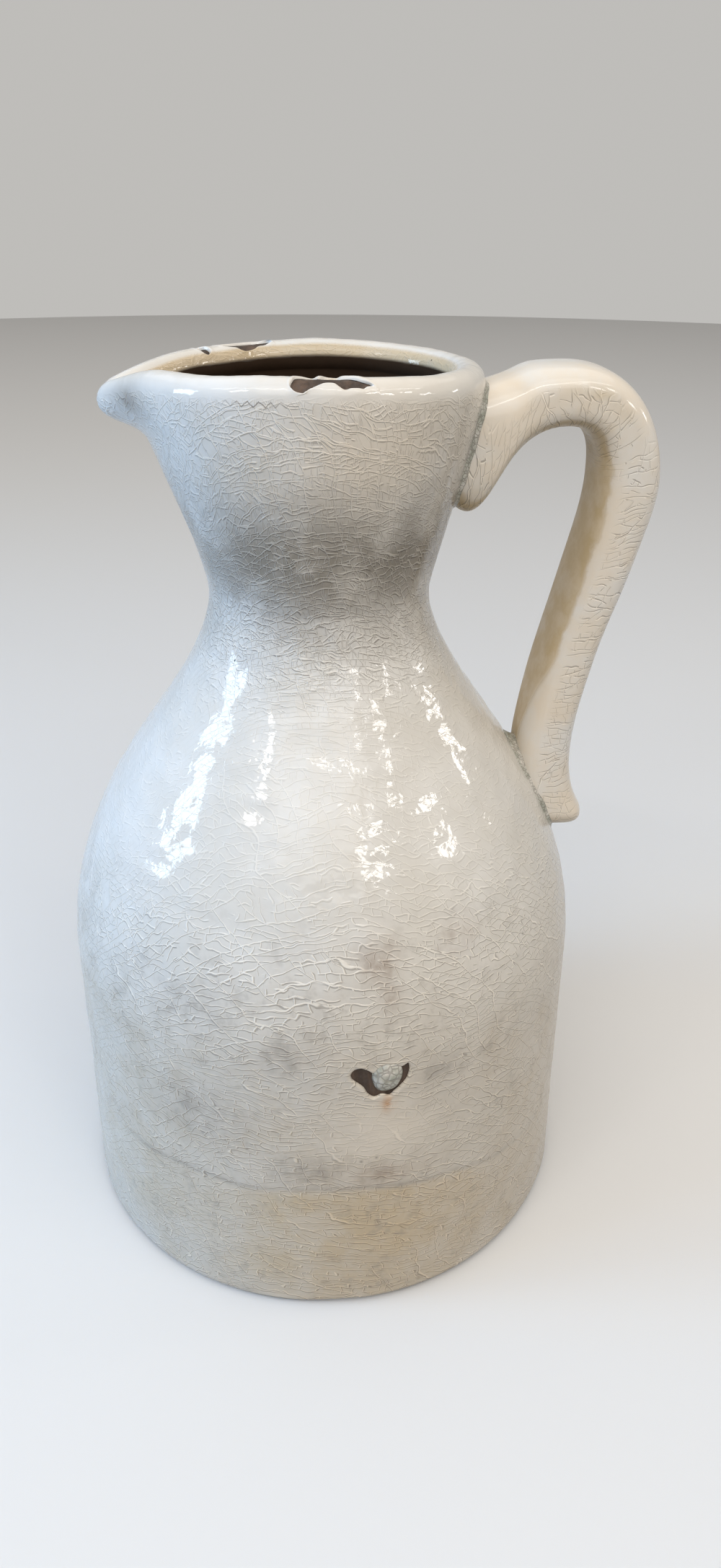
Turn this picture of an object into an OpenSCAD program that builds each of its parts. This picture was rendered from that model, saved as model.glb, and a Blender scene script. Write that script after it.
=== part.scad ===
// Glazed stoneware pouring jug: a thrown body, a collar with a pulled lip, and a strap handle.
// The foot stands on Z = 0, and the body's axis is Z. The lip points along -X, the handle about along +X.

/* [Body] */
// Diameter of the clay just above the foot
belly_d = 189; // [160:1:215]
// Diameter of the clay where the straight side turns into the shoulder
shoulder_d = 186; // [150:1:210]
// Height at which the straight side turns into the shoulder
shoulder_z = 108; // [85:1:125]
// Diameter of the clay at the waist
waist_d = 72; // [62:1:84]
// Height of the waist, where body and collar are luted together
waist_z = 242; // [228:1:258]
// How far the straight side carries up into the shoulder's curve
shoulder_pull = 67; // [45:1:75]
// How far the waist carries down into the shoulder's curve
waist_pull = 35; // [22:1:45]
// Thickness of the thrown wall
wall_t = 6; // [4:0.5:8]
// Thickness of the floor
floor_t = 8; // [5:0.5:12]
// Rounding of the foot's outer edge
foot_round = 4.5; // [3:0.5:8]

/* [Neck and lip] */
// Height of the collar from the waist to the top of the rim
collar_h = 70; // [60:1:80]
// Outer diameter of the clay at the rim
rim_d = 102; // [94:1:112]
// Thickness of the rolled rim
rim_t = 9; // [7.5:0.5:11]
// How far the waist carries up into the flare
flare_low_pull = 6; // [2:1:14]
// How far the rim carries down into the flare
flare_high_pull = 13; // [6:1:20]
// Distance from the axis to the tip of the lip
lip_reach = 67.8; // [60:0.2:76]
// Radius of the lip's tip, seen from above
lip_tip_r = 7; // [4:0.5:10]
// Height of the part of the collar that is pulled out into the lip
lip_h = 52; // [36:1:58]
// Share of the lip's reach that grows evenly with height, below the curl of its edge
lip_throat_share = 0.4; // [0.2:0.05:0.7]
// How sharply the rest of the lip curls outwards towards its top
lip_curl = 4; // [2:0.25:6]
// How far the tip of the lip falls below the rim
lip_droop = 7; // [0:0.5:10]
// Half angle over which the tip falls
lip_fall_angle = 28; // [16:1:36]
// How far the rim is pinched in at its front and back
pinch = 6.5; // [0:0.5:10]
// How far the pinched front and back stand up above the rest of the rim
pinch_rise = 1.5; // [0:0.5:3]

/* [Handle] */
// Angle by which the handle is set back from the lip's plane, seen from above
handle_turn = 5.5; // [-10:0.5:10]
// Width of the strap, across the jug
strap_w = 28; // [22:1:34]
// Thickness of the strap along the grip
strap_t = 19.5; // [16:0.5:22]
// Squareness of the strap's section: 2 is an ellipse, more is squarer
strap_square = 3; // [2:0.1:5]
// Drop of the upper root's top edge below the top of the rim
root_drop = 6.5; // [4:0.5:9]
// Height of the upper root on the collar
root_h = 35; // [30:1:40]
// Upward slope of the strap's top side as it leaves the collar
root_slope = 10; // [0:1:20]
// Slope of the strap's underside as it leaves the collar; below 0 the root sags before it rises
under_slope = -45; // [-60:1:20]
// How far that slope carries along the underside
under_pull = 18.5; // [10:0.5:22]
// Distance of the strap's crown from the axis
crown_reach = 78.5; // [74:0.5:84]
// Height of the strap's crown above the top of the rim
crown_rise = -0.5; // [-2:0.5:6]
// Thickness of the strap at the crown
crown_t = 17; // [15:0.5:20]
// How far the level crown carries to each side
crown_pull = 24; // [18:1:26]
// Distance of the strap's outer face from the axis at the elbow
elbow_reach = 110; // [106:1:118]
// Drop of the elbow below the top of the rim
elbow_drop = 36; // [32:1:40]
// How far the elbow carries up into the crown
elbow_up_pull = 13; // [8:1:18]
// How far the elbow carries down into the grip
elbow_down_pull = 24.5; // [15:0.5:34]
// Height of the strap's tail on the shoulder
tail_z = 157; // [152:1:168]
// How far the tail's outer face stands off the shoulder
tail_stand = 13.5; // [12:0.5:18]
// How far the tail is pressed into the shoulder, measured on its inner face
tail_press = 7.5; // [6:0.5:11]
// How far the grip bends in towards the body above the tail
tail_bend = 18; // [14:1:24]
// How far that bend carries up the grip
tail_pull = 32; // [24:1:38]
// Length of the rounded end of the tail
tail_round = 9; // [6:1:14]

/* [Joints and glaze] */
// Thickness of the slip that lutes the handle to the wall
slip_t = 2.2; // [1.8:0.1:3]
// Width of slip squeezed out round the handle's roots
slip_spread = 2.5; // [1.5:0.5:4]
// Thickness of the glaze
glaze_t = 1.2; // [0.8:0.1:1.6]
// Height of the bare clay left above the foot
bare_foot = 2; // [1:0.5:3]
// How far the glaze runs down inside the rim
glaze_inside = 13; // [12:0.5:18]
// Gap between two curved faces that lie on each other
seat_gap = 0.1; // [0.05:0.05:0.2]

/* [Bare spots in the glaze] */
// Diameter of the crawled spot on the belly
spot_d = 19; // [17:0.5:24]
// Height of the spot's middle
spot_z = 106.5; // [95:0.5:116]
// Sideways place of the spot's middle on the front of the belly
spot_x = 21.8; // [-30:0.1:40]
// Height of the spot's two arms above its middle
spot_arm_h = 3.5; // [0:0.5:5]
// Diameter of the drop of glaze left in the spot
bead_d = 12; // [9:0.5:13]
// Height to which that drop stands off the clay
bead_h = 1.9; // [1.4:0.1:2.6]
// Sideways distance of the drop from the spot's middle
bead_shift = 2; // [0:0.1:2.2]
// Length along the rim of the wide bare spot at the front
rim_spot_l = 9.5; // [6:0.5:14]
// Length along the rim of the small bare spot at the front
rim_spot_small_l = 6.5; // [4:0.5:9]
// Width across the rim of the two front spots
rim_spot_w = 7; // [4:0.25:8]
// How far the front spots' middles lie outside the top of the rim
rim_spot_out = 1.5; // [0:0.25:2]
// Distance along the rim between the middles of the two front spots
rim_spot_pitch = 13.5; // [10:0.5:18]
// Width across the rim of the bare neck that joins the front spots
rim_link_w = 4.5; // [2:0.25:6]
// Direction of the wide front spot, seen from above
rim_spot_angle = 284; // [265:1:300]
// Length along the rim of the bare strip at the back
rim_strip_l = 17; // [10:1:22]
// Length along the rim of the bare notch beside that strip
rim_notch_l = 3.5; // [2:0.5:6]
// Width across the rim of the strip and the notch
rim_strip_w = 5; // [3:0.25:7]
// Direction of the bare strip at the back, seen from above
rim_strip_angle = 127; // [115:1:135]
// Angle from the strip's middle to the notch
rim_notch_turn = 20; // [16:1:26]

/* [Hidden] */
$fn = 240;

clay = [0.34, 0.22, 0.15];
slip = [0.62, 0.62, 0.50];
cream = [0.88, 0.85, 0.78];
warm_cream = [0.90, 0.80, 0.66];
pooled = [0.63, 0.64, 0.58];

belly_r = belly_d / 2;
shoulder_r = shoulder_d / 2;
waist_r = waist_d / 2;
rim_r = rim_d / 2;
rim_z = waist_z + collar_h;
roll_r = rim_t / 2;
roll_z = rim_z - roll_r;
overrun = wall_t;
spot_r = spot_d / 2;
bead_r = bead_d / 2;

// Counts of straight steps in each curve
curve_steps = 14;
flare_steps = 9;
arc_steps = 6;
roll_steps = 9;
lip_columns = 13;
round_columns = 34;
section_points = 20;
grip_steps = 16;
crown_steps = 8;
tail_steps = 4;
outline_points = 24;

// Angle to which the rim's roll turns: its outer side is at 0, its top at 90, its inner side at 180
roll_turn = 225;
// Part of the tail's section that is left at its very end
tail_end_share = 0.35;

// Curves

function bezier(p, t) =
    pow(1 - t, 3) * p[0] + 3 * t * pow(1 - t, 2) * p[1]
    + 3 * t * t * (1 - t) * p[2] + pow(t, 3) * p[3];

// Points of a curve or an arc after its first one
function curve(p, steps) = [for (i = [1:steps]) bezier(p, i / steps)];

function arc(middle, r, from, to, steps) =
    [for (i = [1:steps])
        let (a = from + (to - from) * i / steps) middle + r * [cos(a), sin(a)]];

function unit(v) = v / norm(v);

function smooth(t) = t * t * (3 - 2 * t);

// Normal on the right-hand side of a line of points
function normal(line, i) =
    let (d = unit(line[min(i + 1, len(line) - 1)] - line[max(i - 1, 0)])) [d[1], -d[0]];

// Wall line moved out of the clay by a thickness; the wall stands upright at the waist
function grown(line, by) =
    [for (i = [0:len(line) - 1])
        line[i] + by * (line[i][1] == waist_z ? [1, 0] : normal(line, i))];

function reversed(line) = [for (i = [len(line) - 1:-1:0]) line[i]];

// The wall's outer line, as [radius, height], in the order foot, side and shoulder, flare, rim

taper = (belly_r - shoulder_r) / (shoulder_z - foot_round);
shoulder_curve = [[shoulder_r, shoulder_z],
                  [shoulder_r - taper * shoulder_pull, shoulder_z + shoulder_pull],
                  [waist_r, waist_z - waist_pull],
                  [waist_r, waist_z]];
flare_curve = [[waist_r, waist_z],
               [waist_r, waist_z + flare_low_pull],
               [rim_r, roll_z - flare_high_pull],
               [rim_r, roll_z]];

foot_middle = [belly_r - foot_round, foot_round];
foot_line = concat([[belly_r - foot_round, 0]], arc(foot_middle, foot_round, -90, 0, arc_steps));
side_line = concat([[shoulder_r, shoulder_z]], curve(shoulder_curve, curve_steps));
flare_line = curve(flare_curve, flare_steps);
roll_middle = [rim_r - roll_r, roll_z];
roll_line = arc(roll_middle, roll_r, 0, roll_turn, roll_steps);
top_line = arc(roll_middle, roll_r, 0, 90, arc_steps);

body_line = concat(foot_line, side_line);
outer_line = concat(body_line, flare_line, top_line);

function wall_r(z) = lookup(z, [for (p = concat(body_line, flare_line)) [p[1], p[0]]]);

// Inner lines, a wall's thickness in from the outer ones

inner_side = reversed(grown(side_line, -wall_t));
floor_middle = [belly_r - wall_t - foot_round, floor_t + foot_round];
inner_floor = concat([[belly_r - wall_t, floor_t + foot_round]],
                     arc(floor_middle, foot_round, 0, -90, arc_steps));
glaze_end_z = rim_z - glaze_inside;
glaze_end = [wall_r(glaze_end_z) - wall_t, glaze_end_z];
inner_flare = reversed([for (p = flare_line) if (p[1] < glaze_end_z - wall_t / 2) p - [wall_t, 0]]);

// Solid of the whole jug, grown by a thickness, to seat the handle on
module envelope(by) {
    line = grown(outer_line, by);
    rotate_extrude()
        polygon(concat([[0, line[0][1]]], line, [[0, line[len(line) - 1][1]]]));
}

// The collar's plan: a round rim drawn out to a small round tip, as a radius for each direction

lip_middle = lip_reach - lip_tip_r;
lip_angle = acos((rim_r - lip_tip_r) / lip_middle);
tip_angle = atan2(lip_tip_r * sin(lip_angle), lip_middle + lip_tip_r * cos(lip_angle));

function lip_turn(direction) = abs(direction - 180);

function plan_r(turn) =
    turn >= lip_angle ? rim_r
    : turn >= tip_angle ? rim_r / cos(lip_angle - turn)
    : lip_middle * cos(turn) + sqrt(pow(lip_tip_r, 2) - pow(lip_middle * sin(turn), 2));

function lip_pull(direction) = plan_r(lip_turn(direction)) - rim_r;

function lip_fall(direction) = lip_droop * pow(max(0, 1 - lip_turn(direction) / lip_fall_angle), 2);

// Share of the lip's reach that a height on the collar takes
function lip_share(z) =
    let (up = min(1, max(0, (z - rim_z + lip_h) / (lip_h - roll_r))))
    lip_throat_share * up + (1 - lip_throat_share) * pow(up, lip_curl);

// Share of the pinch that a height and a direction on the collar take; none is left at lip and handle
function pinch_share(z, direction) =
    smooth(min(1, max(0, (z - waist_z) / (roll_z - waist_z)))) * pow(sin(direction), 4);

// Directions of the collar's columns, close together at the lip's tip
lip_directions = [for (j = [-lip_columns:lip_columns])
    180 + sign(j) * lip_angle * pow(abs(j) / lip_columns, 1.5)];
round_directions = [for (j = [1:round_columns - 1])
    180 + lip_angle + (360 - 2 * lip_angle) * j / round_columns];
directions = concat(lip_directions, round_directions);

function collar_point(p, direction) =
    let (share = lip_share(p[1]),
         press = pinch_share(p[1], direction),
         r = p[0] + share * lip_pull(direction) - press * pinch)
    [r * cos(direction), r * sin(direction), p[1] - share * lip_fall(direction) + press * pinch_rise];

// Distance of the top of the rim from the axis
function rim_top_r(direction) =
    roll_middle[0] + lip_pull(direction) - pinch * pinch_share(roll_z, direction);

// Triangles between rows of points, where each row closes on itself
function row_faces(rows, columns, closed) =
    [for (i = [0:rows - (closed ? 1 : 2)], j = [0:columns - 1], half = [0, 1])
        let (a = i * columns + j,
             b = i * columns + (j + 1) % columns,
             c = ((i + 1) % rows) * columns + (j + 1) % columns,
             d = ((i + 1) % rows) * columns + j)
        half == 0 ? [a, d, c] : [a, c, b]];

// Solid ring that follows the collar's plan, from a closed loop of [radius, height]
module collar_ring(loop) {
    points = [for (p = loop, direction = directions) collar_point(p, direction)];
    polyhedron(points, row_faces(len(loop), len(directions), true));
}

// The handle's outer and inner edges, in the handle's own plane, as [distance from axis, height]

root_top_z = rim_z - root_drop;
root_low_z = root_top_z - root_h;
root_top = [wall_r(root_top_z), root_top_z];
root_low = [wall_r(root_low_z), root_low_z];
crown_top = [crown_reach, rim_z + crown_rise];
crown_low = crown_top - [0, crown_t];
elbow_out = [elbow_reach, rim_z - elbow_drop];
elbow_in = elbow_out - [strap_t, 0];
tail_out = [wall_r(tail_z) + tail_stand, tail_z];
tail_in = [wall_r(tail_z) - tail_press, tail_z];

function slope_way(slope) = [cos(slope), sin(slope)];

// An edge from the collar over the crown and down to the tail; turn_share tightens its turn at the elbow
function edge_line(root, root_side, crown, elbow, tail, bend, turn_share) = concat(
    [root - [strap_t, 0], root],
    curve([root, root_side, crown - [crown_pull, 0], crown], crown_steps),
    curve([crown, crown + [turn_share * crown_pull, 0], elbow + [0, turn_share * elbow_up_pull], elbow],
          crown_steps),
    curve([elbow, elbow - [0, elbow_down_pull], tail + bend, tail], grip_steps));

outer_bend = [-tail_bend, tail_pull];
inner_bend = [-tail_bend / 2, tail_pull];
inner_turn_share = 0.5;
outer_edge = edge_line(root_top, root_top + crown_pull * slope_way(root_slope), crown_top,
                       elbow_out, tail_out, outer_bend, 1);
inner_edge = edge_line(root_low, root_low + under_pull * slope_way(under_slope), crown_low,
                       elbow_in, tail_in, inner_bend, inner_turn_share);

// The rounded tail runs on from the last ring along the strap's middle
tail_way = unit(-outer_bend);
tail_ring = len(outer_edge) - 1;
last_ring = tail_ring + tail_steps;
crown_ring = crown_steps + 1;

// How far a ring is into the rounded tail, and the share of the strap's section that it keeps
function tail_past(i) = 90 * max(0, i - tail_ring) / tail_steps;
function tail_share(i) = tail_end_share + (1 - tail_end_share) * cos(tail_past(i));

function squared(v) = sign(v) * pow(abs(v), 2 / strap_square);

// One ring of the strap, grown by a thickness all round and at both ends
function strap_ring(i, by) =
    let (out_point = outer_edge[min(i, tail_ring)],
         in_point = inner_edge[min(i, tail_ring)],
         out = unit(out_point - in_point),
         along = i == 0 ? [-by, 0] : (tail_round + by) * sin(tail_past(i)) * tail_way,
         middle = (out_point + in_point) / 2 + along,
         half_w = strap_w / 2 * tail_share(i) + by,
         half_t = norm(out_point - in_point) / 2 * tail_share(i) + by)
    [for (k = [0:section_points - 1])
        let (a = 360 * k / section_points,
             across = half_w * squared(cos(a)),
             p = middle + half_t * squared(sin(a)) * out)
        [p[0], across, p[1]]];

// Length of the strap from one ring to another, closed at both ends
module strap(by, first = 0, last = last_ring) {
    rows = last - first + 1;
    points = [for (i = [first:last]) each strap_ring(i, by)];
    start_cap = [for (k = [1:section_points - 2]) [0, k, k + 1]];
    end = (rows - 1) * section_points;
    end_cap = [for (k = [1:section_points - 2]) [end, end + k + 1, end + k]];
    rotate([0, 0, handle_turn])
        polyhedron(points, concat(row_faces(rows, section_points, false), start_cap, end_cap));
}

module upper_root(by) {
    strap(by, 0, crown_ring);
}

module lower_root(by) {
    strap(by, last_ring - grip_steps, last_ring);
}

// Slip squeezed between a root of the handle and the wall
module slip_pad() {
    intersection() {
        children();
        difference() {
            envelope(seat_gap + slip_t);
            envelope(seat_gap);
        }
    }
}

// Bare spots: outlines that cut through the skin of glaze

// Turns the front of the belly to the height and side of the crawled spot
module at_spot() {
    front_r = wall_r(spot_z);
    rotate([0, 0, asin(spot_x / front_r)])
        translate([0, -front_r, spot_z])
            rotate([90, 0, 0])
                children();
}

// Crescent of bare clay round the lower side of the drop, and the drop's own seat
module spot_cut() {
    at_spot()
        translate([0, 0, -overrun])
            linear_extrude(2 * overrun) {
                intersection() {
                    circle(spot_r);
                    translate([-spot_r, -spot_r])
                        square([spot_d, spot_r + spot_arm_h]);
                }
                translate([bead_shift, 0])
                    circle(bead_r + seat_gap);
            }
}

// Oval hole down through the glaze on the rim, centred some way outside its top
module rim_cut(direction, length, width, out = 0) {
    outline = [for (k = [0:outline_points - 1])
        let (a = 360 * k / outline_points) [width / 2 * cos(a), length / 2 * sin(a)]];
    rotate([0, 0, direction])
        translate([rim_top_r(direction) + out, 0, roll_z])
            linear_extrude(rim_t)
                polygon(outline);
}

// Sub-parts

module body() {
    outline = concat([[0, 0]], body_line, inner_side, inner_floor, [[0, floor_t]]);
    color(clay)
        rotate_extrude()
            polygon(outline);
}

module neck() {
    loop = concat([[waist_r, waist_z]], flare_line, roll_line, [glaze_end], inner_flare,
                  [[waist_r - wall_t, waist_z]]);
    color(clay)
        collar_ring(loop);
}

module handle() {
    color(clay)
        difference() {
            strap(0);
            envelope(slip_t + 2 * seat_gap);
        }
}

module upper_joint_slip() {
    color(slip)
        slip_pad()
            upper_root(slip_spread);
}

module lower_joint_slip() {
    color(slip)
        slip_pad()
            lower_root(slip_spread);
}

module body_glaze() {
    start = asin(min(0, bare_foot / foot_round - 1));
    line = concat(arc(foot_middle, foot_round, start, 0, arc_steps), side_line);
    color(cream)
        difference() {
            rotate_extrude()
                polygon(concat(grown(line, seat_gap + glaze_t), reversed(grown(line, seat_gap))));
            lower_root(slip_spread + seat_gap);
            spot_cut();
        }
}

module neck_glaze() {
    line = concat([[waist_r, waist_z]], flare_line, roll_line, [glaze_end]);
    pitch_angle = rim_spot_pitch / rim_top_r(rim_spot_angle) * 180 / PI;
    color(cream)
        difference() {
            collar_ring(concat(grown(line, seat_gap + glaze_t), reversed(grown(line, seat_gap))));
            upper_root(slip_spread + seat_gap);
            rim_cut(rim_spot_angle, rim_spot_l, rim_spot_w, rim_spot_out);
            rim_cut(rim_spot_angle - pitch_angle, rim_spot_small_l, rim_spot_w, rim_spot_out);
            rim_cut(rim_spot_angle - pitch_angle / 2, rim_spot_pitch, rim_link_w);
            rim_cut(rim_strip_angle, rim_strip_l, rim_strip_w);
            rim_cut(rim_strip_angle + rim_notch_turn, rim_notch_l, rim_strip_w);
        }
}

module handle_glaze() {
    color(warm_cream)
        difference() {
            strap(seat_gap + glaze_t);
            strap(seat_gap);
            envelope(slip_t + 2 * seat_gap);
        }
}

module glaze_bead() {
    dome = [for (i = [0:arc_steps]) let (a = 90 * i / arc_steps) [bead_r * cos(a), bead_h * sin(a)]];
    color(pooled)
        difference() {
            at_spot()
                translate([bead_shift, 0, 0])
                    rotate_extrude()
                        polygon(concat([[0, -overrun], [bead_r, -overrun]], dome));
            envelope(seat_gap);
        }
}

body();
neck();
handle();
upper_joint_slip();
lower_joint_slip();
body_glaze();
neck_glaze();
handle_glaze();
glaze_bead();
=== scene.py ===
from math import acos, asin, atan2, cos, degrees, hypot, pi, radians, sin, sqrt

import bpy
import numpy as np
from mathutils import Matrix, Vector


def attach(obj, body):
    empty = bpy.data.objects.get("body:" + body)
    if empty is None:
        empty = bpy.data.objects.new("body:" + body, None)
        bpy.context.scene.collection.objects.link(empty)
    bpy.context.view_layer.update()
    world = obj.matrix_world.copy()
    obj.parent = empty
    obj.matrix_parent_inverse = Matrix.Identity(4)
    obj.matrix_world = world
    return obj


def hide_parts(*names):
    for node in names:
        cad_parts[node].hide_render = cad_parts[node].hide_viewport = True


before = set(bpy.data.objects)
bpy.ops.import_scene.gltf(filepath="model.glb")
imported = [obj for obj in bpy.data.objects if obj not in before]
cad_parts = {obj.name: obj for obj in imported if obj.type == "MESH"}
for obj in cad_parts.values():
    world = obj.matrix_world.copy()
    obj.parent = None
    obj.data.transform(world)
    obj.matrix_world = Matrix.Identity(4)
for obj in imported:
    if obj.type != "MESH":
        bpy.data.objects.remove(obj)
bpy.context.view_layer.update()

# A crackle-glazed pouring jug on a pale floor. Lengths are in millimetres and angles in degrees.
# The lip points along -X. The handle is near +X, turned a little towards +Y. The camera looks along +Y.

MM = 0.001

# Clay of the body and the collar, as the frame has it
BELLY_R = 94.5
SHOULDER_R = 93.0
SHOULDER_Z = 108.0
WAIST_R = 36.0
WAIST_Z = 242.0
SHOULDER_PULL = 67.0
WAIST_PULL = 35.0
WALL_T = 6.0
FOOT_ROUND = 4.5
BARE_FOOT = 2.0
RIM_R = 51.0
RIM_Z = 312.0
RIM_T = 9.0
FLARE_LOW_PULL = 6.0
FLARE_HIGH_PULL = 13.0
LIP_REACH = 67.8
LIP_TIP_R = 7.0
LIP_H = 52.0
LIP_THROAT_SHARE = 0.4
LIP_DROOP = 7.0
LIP_FALL_ANGLE = 28.0
PINCH = 6.5
PINCH_RISE = 1.5
ROLL_TURN = 225.0
GLAZE_INSIDE = 13.0
ROLL_R = RIM_T / 2
ROLL_Z = RIM_Z - ROLL_R
ROLL_MIDDLE_R = RIM_R - ROLL_R

# Blunt edge of the lip and the hollow under it, which the frame's solid lacks
LIP_EDGE_H = 1.5
LIP_UNDER_H = 15.0

# Strap of the handle, as the frame has it but for ROOT_PULL and ROOT_RISE, which smooth its upper root
HANDLE_TURN = 5.5
STRAP_W = 28.0
STRAP_T = 19.5
STRAP_SQUARE = 3.0
ROOT_DROP = 6.5
ROOT_H = 35.0
UNDER_SLOPE = -45.0
UNDER_PULL = 18.5
CROWN_REACH = 78.5
CROWN_RISE = -0.5
CROWN_T = 17.0
CROWN_PULL = 24.0
ROOT_PULL = 18.0
ROOT_RISE = 14.0
ELBOW_REACH = 110.0
ELBOW_DROP = 36.0
ELBOW_UP_PULL = 13.0
ELBOW_DOWN_PULL = 24.5
TAIL_Z = 157.0
TAIL_STAND = 13.5
TAIL_PRESS = 7.5
TAIL_BEND = 18.0
TAIL_PULL = 32.0
TAIL_ROUND = 9.0

# Glaze: its usual thickness, its gap to the clay, and how it rounds down at a free edge
GLAZE_T = 0.95
SEAT_GAP = 0.12
EDGE_W = 0.7
EDGE_LEAST = 0.05
EDGE_BEAD_SHARE = 0.22
EDGE_BEAD_AT = 1.3
EDGE_BEAD_W = 0.9
GLAZE_MOST = 1.2
COAT_T = GLAZE_T - 0.16

# Bare spot on the belly with its drop of glaze, and bare spots on the rim
BEAD_X = 23.8
BEAD_Z = 106.5
BEAD_R = 6.2
BEAD_H = 2.3
RIM_SPOT_ANGLE = 275.0
RIM_SPOT_TURN = 84.0
STRIP_ANGLE = 127.0
STRIP_TURN = 86.0
NOTCH_ANGLE = 147.0

# Radii at which patches and crackle are laid out on the wall, and how high the crackle's lines arch
BELLY_SKIN_R = 95.0
CRACKLE_R = 70.0
ARCH_H = 110.0


# Curves

CURVE_STEPS = 24


def bezier(points, count):
    """Points of a cubic curve after its first one."""
    p = np.array(points, float)
    t = np.linspace(0, 1, count + 1)[1:, None]
    return (1 - t) ** 3 * p[0] + 3 * t * (1 - t) ** 2 * p[1] + 3 * t * t * (1 - t) * p[2] + t ** 3 * p[3]


def arc(middle, radius, start, stop, count):
    """Points of an arc after its first one."""
    a = np.radians(np.linspace(start, stop, count + 1)[1:])
    return np.array(middle) + radius * np.stack([np.cos(a), np.sin(a)], 1)


def distances(line):
    """Distance of each point along a line of points."""
    return np.concatenate([[0], np.cumsum(np.linalg.norm(np.diff(line, axis=0), axis=1))])


def points_at(line, at):
    """Points of a line at some distances along it."""
    s = distances(line)
    return np.stack([np.interp(at, s, values) for values in line.T], 1)


def even(line, step):
    """The same line in even steps."""
    length = distances(line)[-1]
    return points_at(line, np.linspace(0, length, int(length / step) + 1))


def back_to_start(line):
    return np.vstack([line, line[:1]])


def closed_curve(points, count):
    """A smooth closed curve through some points, in even steps."""
    p = np.array(points, float)
    t = np.linspace(0, 1, CURVE_STEPS, endpoint=False)[:, None]
    rows = []
    for i in range(len(p)):
        a, b, c, d = (p[(i + k - 1) % len(p)] for k in range(4))
        rows.append(0.5 * (2 * b + (c - a) * t + (2 * a - 5 * b + 4 * c - d) * t ** 2
                           + (3 * b - a - 3 * c + d) * t ** 3))
    line = back_to_start(np.vstack(rows))
    return points_at(line, np.linspace(0, distances(line)[-1], count, endpoint=False))


def unit(vectors):
    return vectors / np.linalg.norm(vectors, axis=1)[:, None]


def smooth(t):
    """Smooth step from 0 to 1."""
    t = np.clip(t, 0, 1)
    return t * t * (3 - 2 * t)


# Wall of the jug

TAPER = (BELLY_R - SHOULDER_R) / (SHOULDER_Z - FOOT_ROUND)
FOOT_STEPS = 30
SHOULDER_STEPS = 300
FLARE_STEPS = 200
ROLL_STEPS = 120
WALL_STEP = 0.25


def wall_line():
    """The clay's outer line as [radius, height]: foot, side, shoulder, flare, rolled rim and inside."""
    start = degrees(asin(BARE_FOOT / FOOT_ROUND - 1))
    foot = arc((BELLY_R - FOOT_ROUND, FOOT_ROUND), FOOT_ROUND, start - 1, 0, FOOT_STEPS)
    side_end = (SHOULDER_R, SHOULDER_Z)
    waist = (WAIST_R, WAIST_Z)
    shoulder = bezier([side_end, (SHOULDER_R - TAPER * SHOULDER_PULL, SHOULDER_Z + SHOULDER_PULL),
                       (WAIST_R, WAIST_Z - WAIST_PULL), waist], SHOULDER_STEPS)
    flare = bezier([waist, (WAIST_R, WAIST_Z + FLARE_LOW_PULL), (RIM_R, ROLL_Z - FLARE_HIGH_PULL),
                    (RIM_R, ROLL_Z)], FLARE_STEPS)
    roll = arc((ROLL_MIDDLE_R, ROLL_Z), ROLL_R, 0, ROLL_TURN, ROLL_STEPS)
    end_z = RIM_Z - GLAZE_INSIDE
    end = [(np.interp(end_z, flare[:, 1], flare[:, 0]) - WALL_T, end_z)]
    return np.vstack([foot, [side_end], shoulder, flare, roll, end])


class Wall:
    """The wall's line, read by distance along it."""

    def __init__(self, line):
        line = even(line, WALL_STEP)
        self.s = distances(line)
        self.r, self.z = line.T
        tangent = unit(np.gradient(line, self.s, axis=0))
        self.nr, self.nz = tangent[:, 1], -tangent[:, 0]
        top = int(np.argmax(self.z))
        self.out_r, self.out_z = self.r[:top], self.z[:top]
        self.top_s = self.s[top]

    def at(self, s):
        """Radius and height at a distance, and the two parts of the direction out of the wall."""
        return [np.interp(s, self.s, q) for q in (self.r, self.z, self.nr, self.nz)]

    def station(self, z):
        """Distance along the line at which its outer side reaches a height."""
        return float(np.interp(z, self.out_z, self.s[:len(self.out_z)]))

    def radius(self, z):
        return np.interp(z, self.out_z, self.out_r)


WALL = Wall(wall_line())
WAIST_S = WALL.station(WAIST_Z)
ROLL_S = WALL.station(ROLL_Z)
END_S = float(WALL.s[-1])

LIP_MIDDLE = LIP_REACH - LIP_TIP_R
LIP_ANGLE = degrees(acos((RIM_R - LIP_TIP_R) / LIP_MIDDLE))
TIP_ANGLE = degrees(atan2(LIP_TIP_R * sin(radians(LIP_ANGLE)),
                          LIP_MIDDLE + LIP_TIP_R * cos(radians(LIP_ANGLE))))


def lip_pull(direction):
    """How far the rim's plan is drawn out of its circle towards the lip."""
    turn = np.abs(direction - 180)
    side = RIM_R / np.cos(np.radians(np.clip(LIP_ANGLE - turn, 0, LIP_ANGLE)))
    t = np.radians(np.minimum(turn, TIP_ANGLE))
    tip = LIP_MIDDLE * np.cos(t) + np.sqrt(LIP_TIP_R ** 2 - (LIP_MIDDLE * np.sin(t)) ** 2)
    return np.where(turn >= TIP_ANGLE, side, tip) - RIM_R


def lip_fall(direction):
    """How far the rim falls towards the lip's tip."""
    return LIP_DROOP * np.maximum(0, 1 - np.abs(direction - 180) / LIP_FALL_ANGLE) ** 2


def lip_share(z):
    """Share of the lip's pull at a height: it grows in the throat, and fully only at the blunt edge."""
    up = np.clip((z - RIM_Z + LIP_H) / (LIP_H - ROLL_R), 0, 1)
    under = smooth((ROLL_Z - z - LIP_EDGE_H) / LIP_UNDER_H)
    return LIP_THROAT_SHARE * up + (1 - LIP_THROAT_SHARE) * (1 - under)


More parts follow.
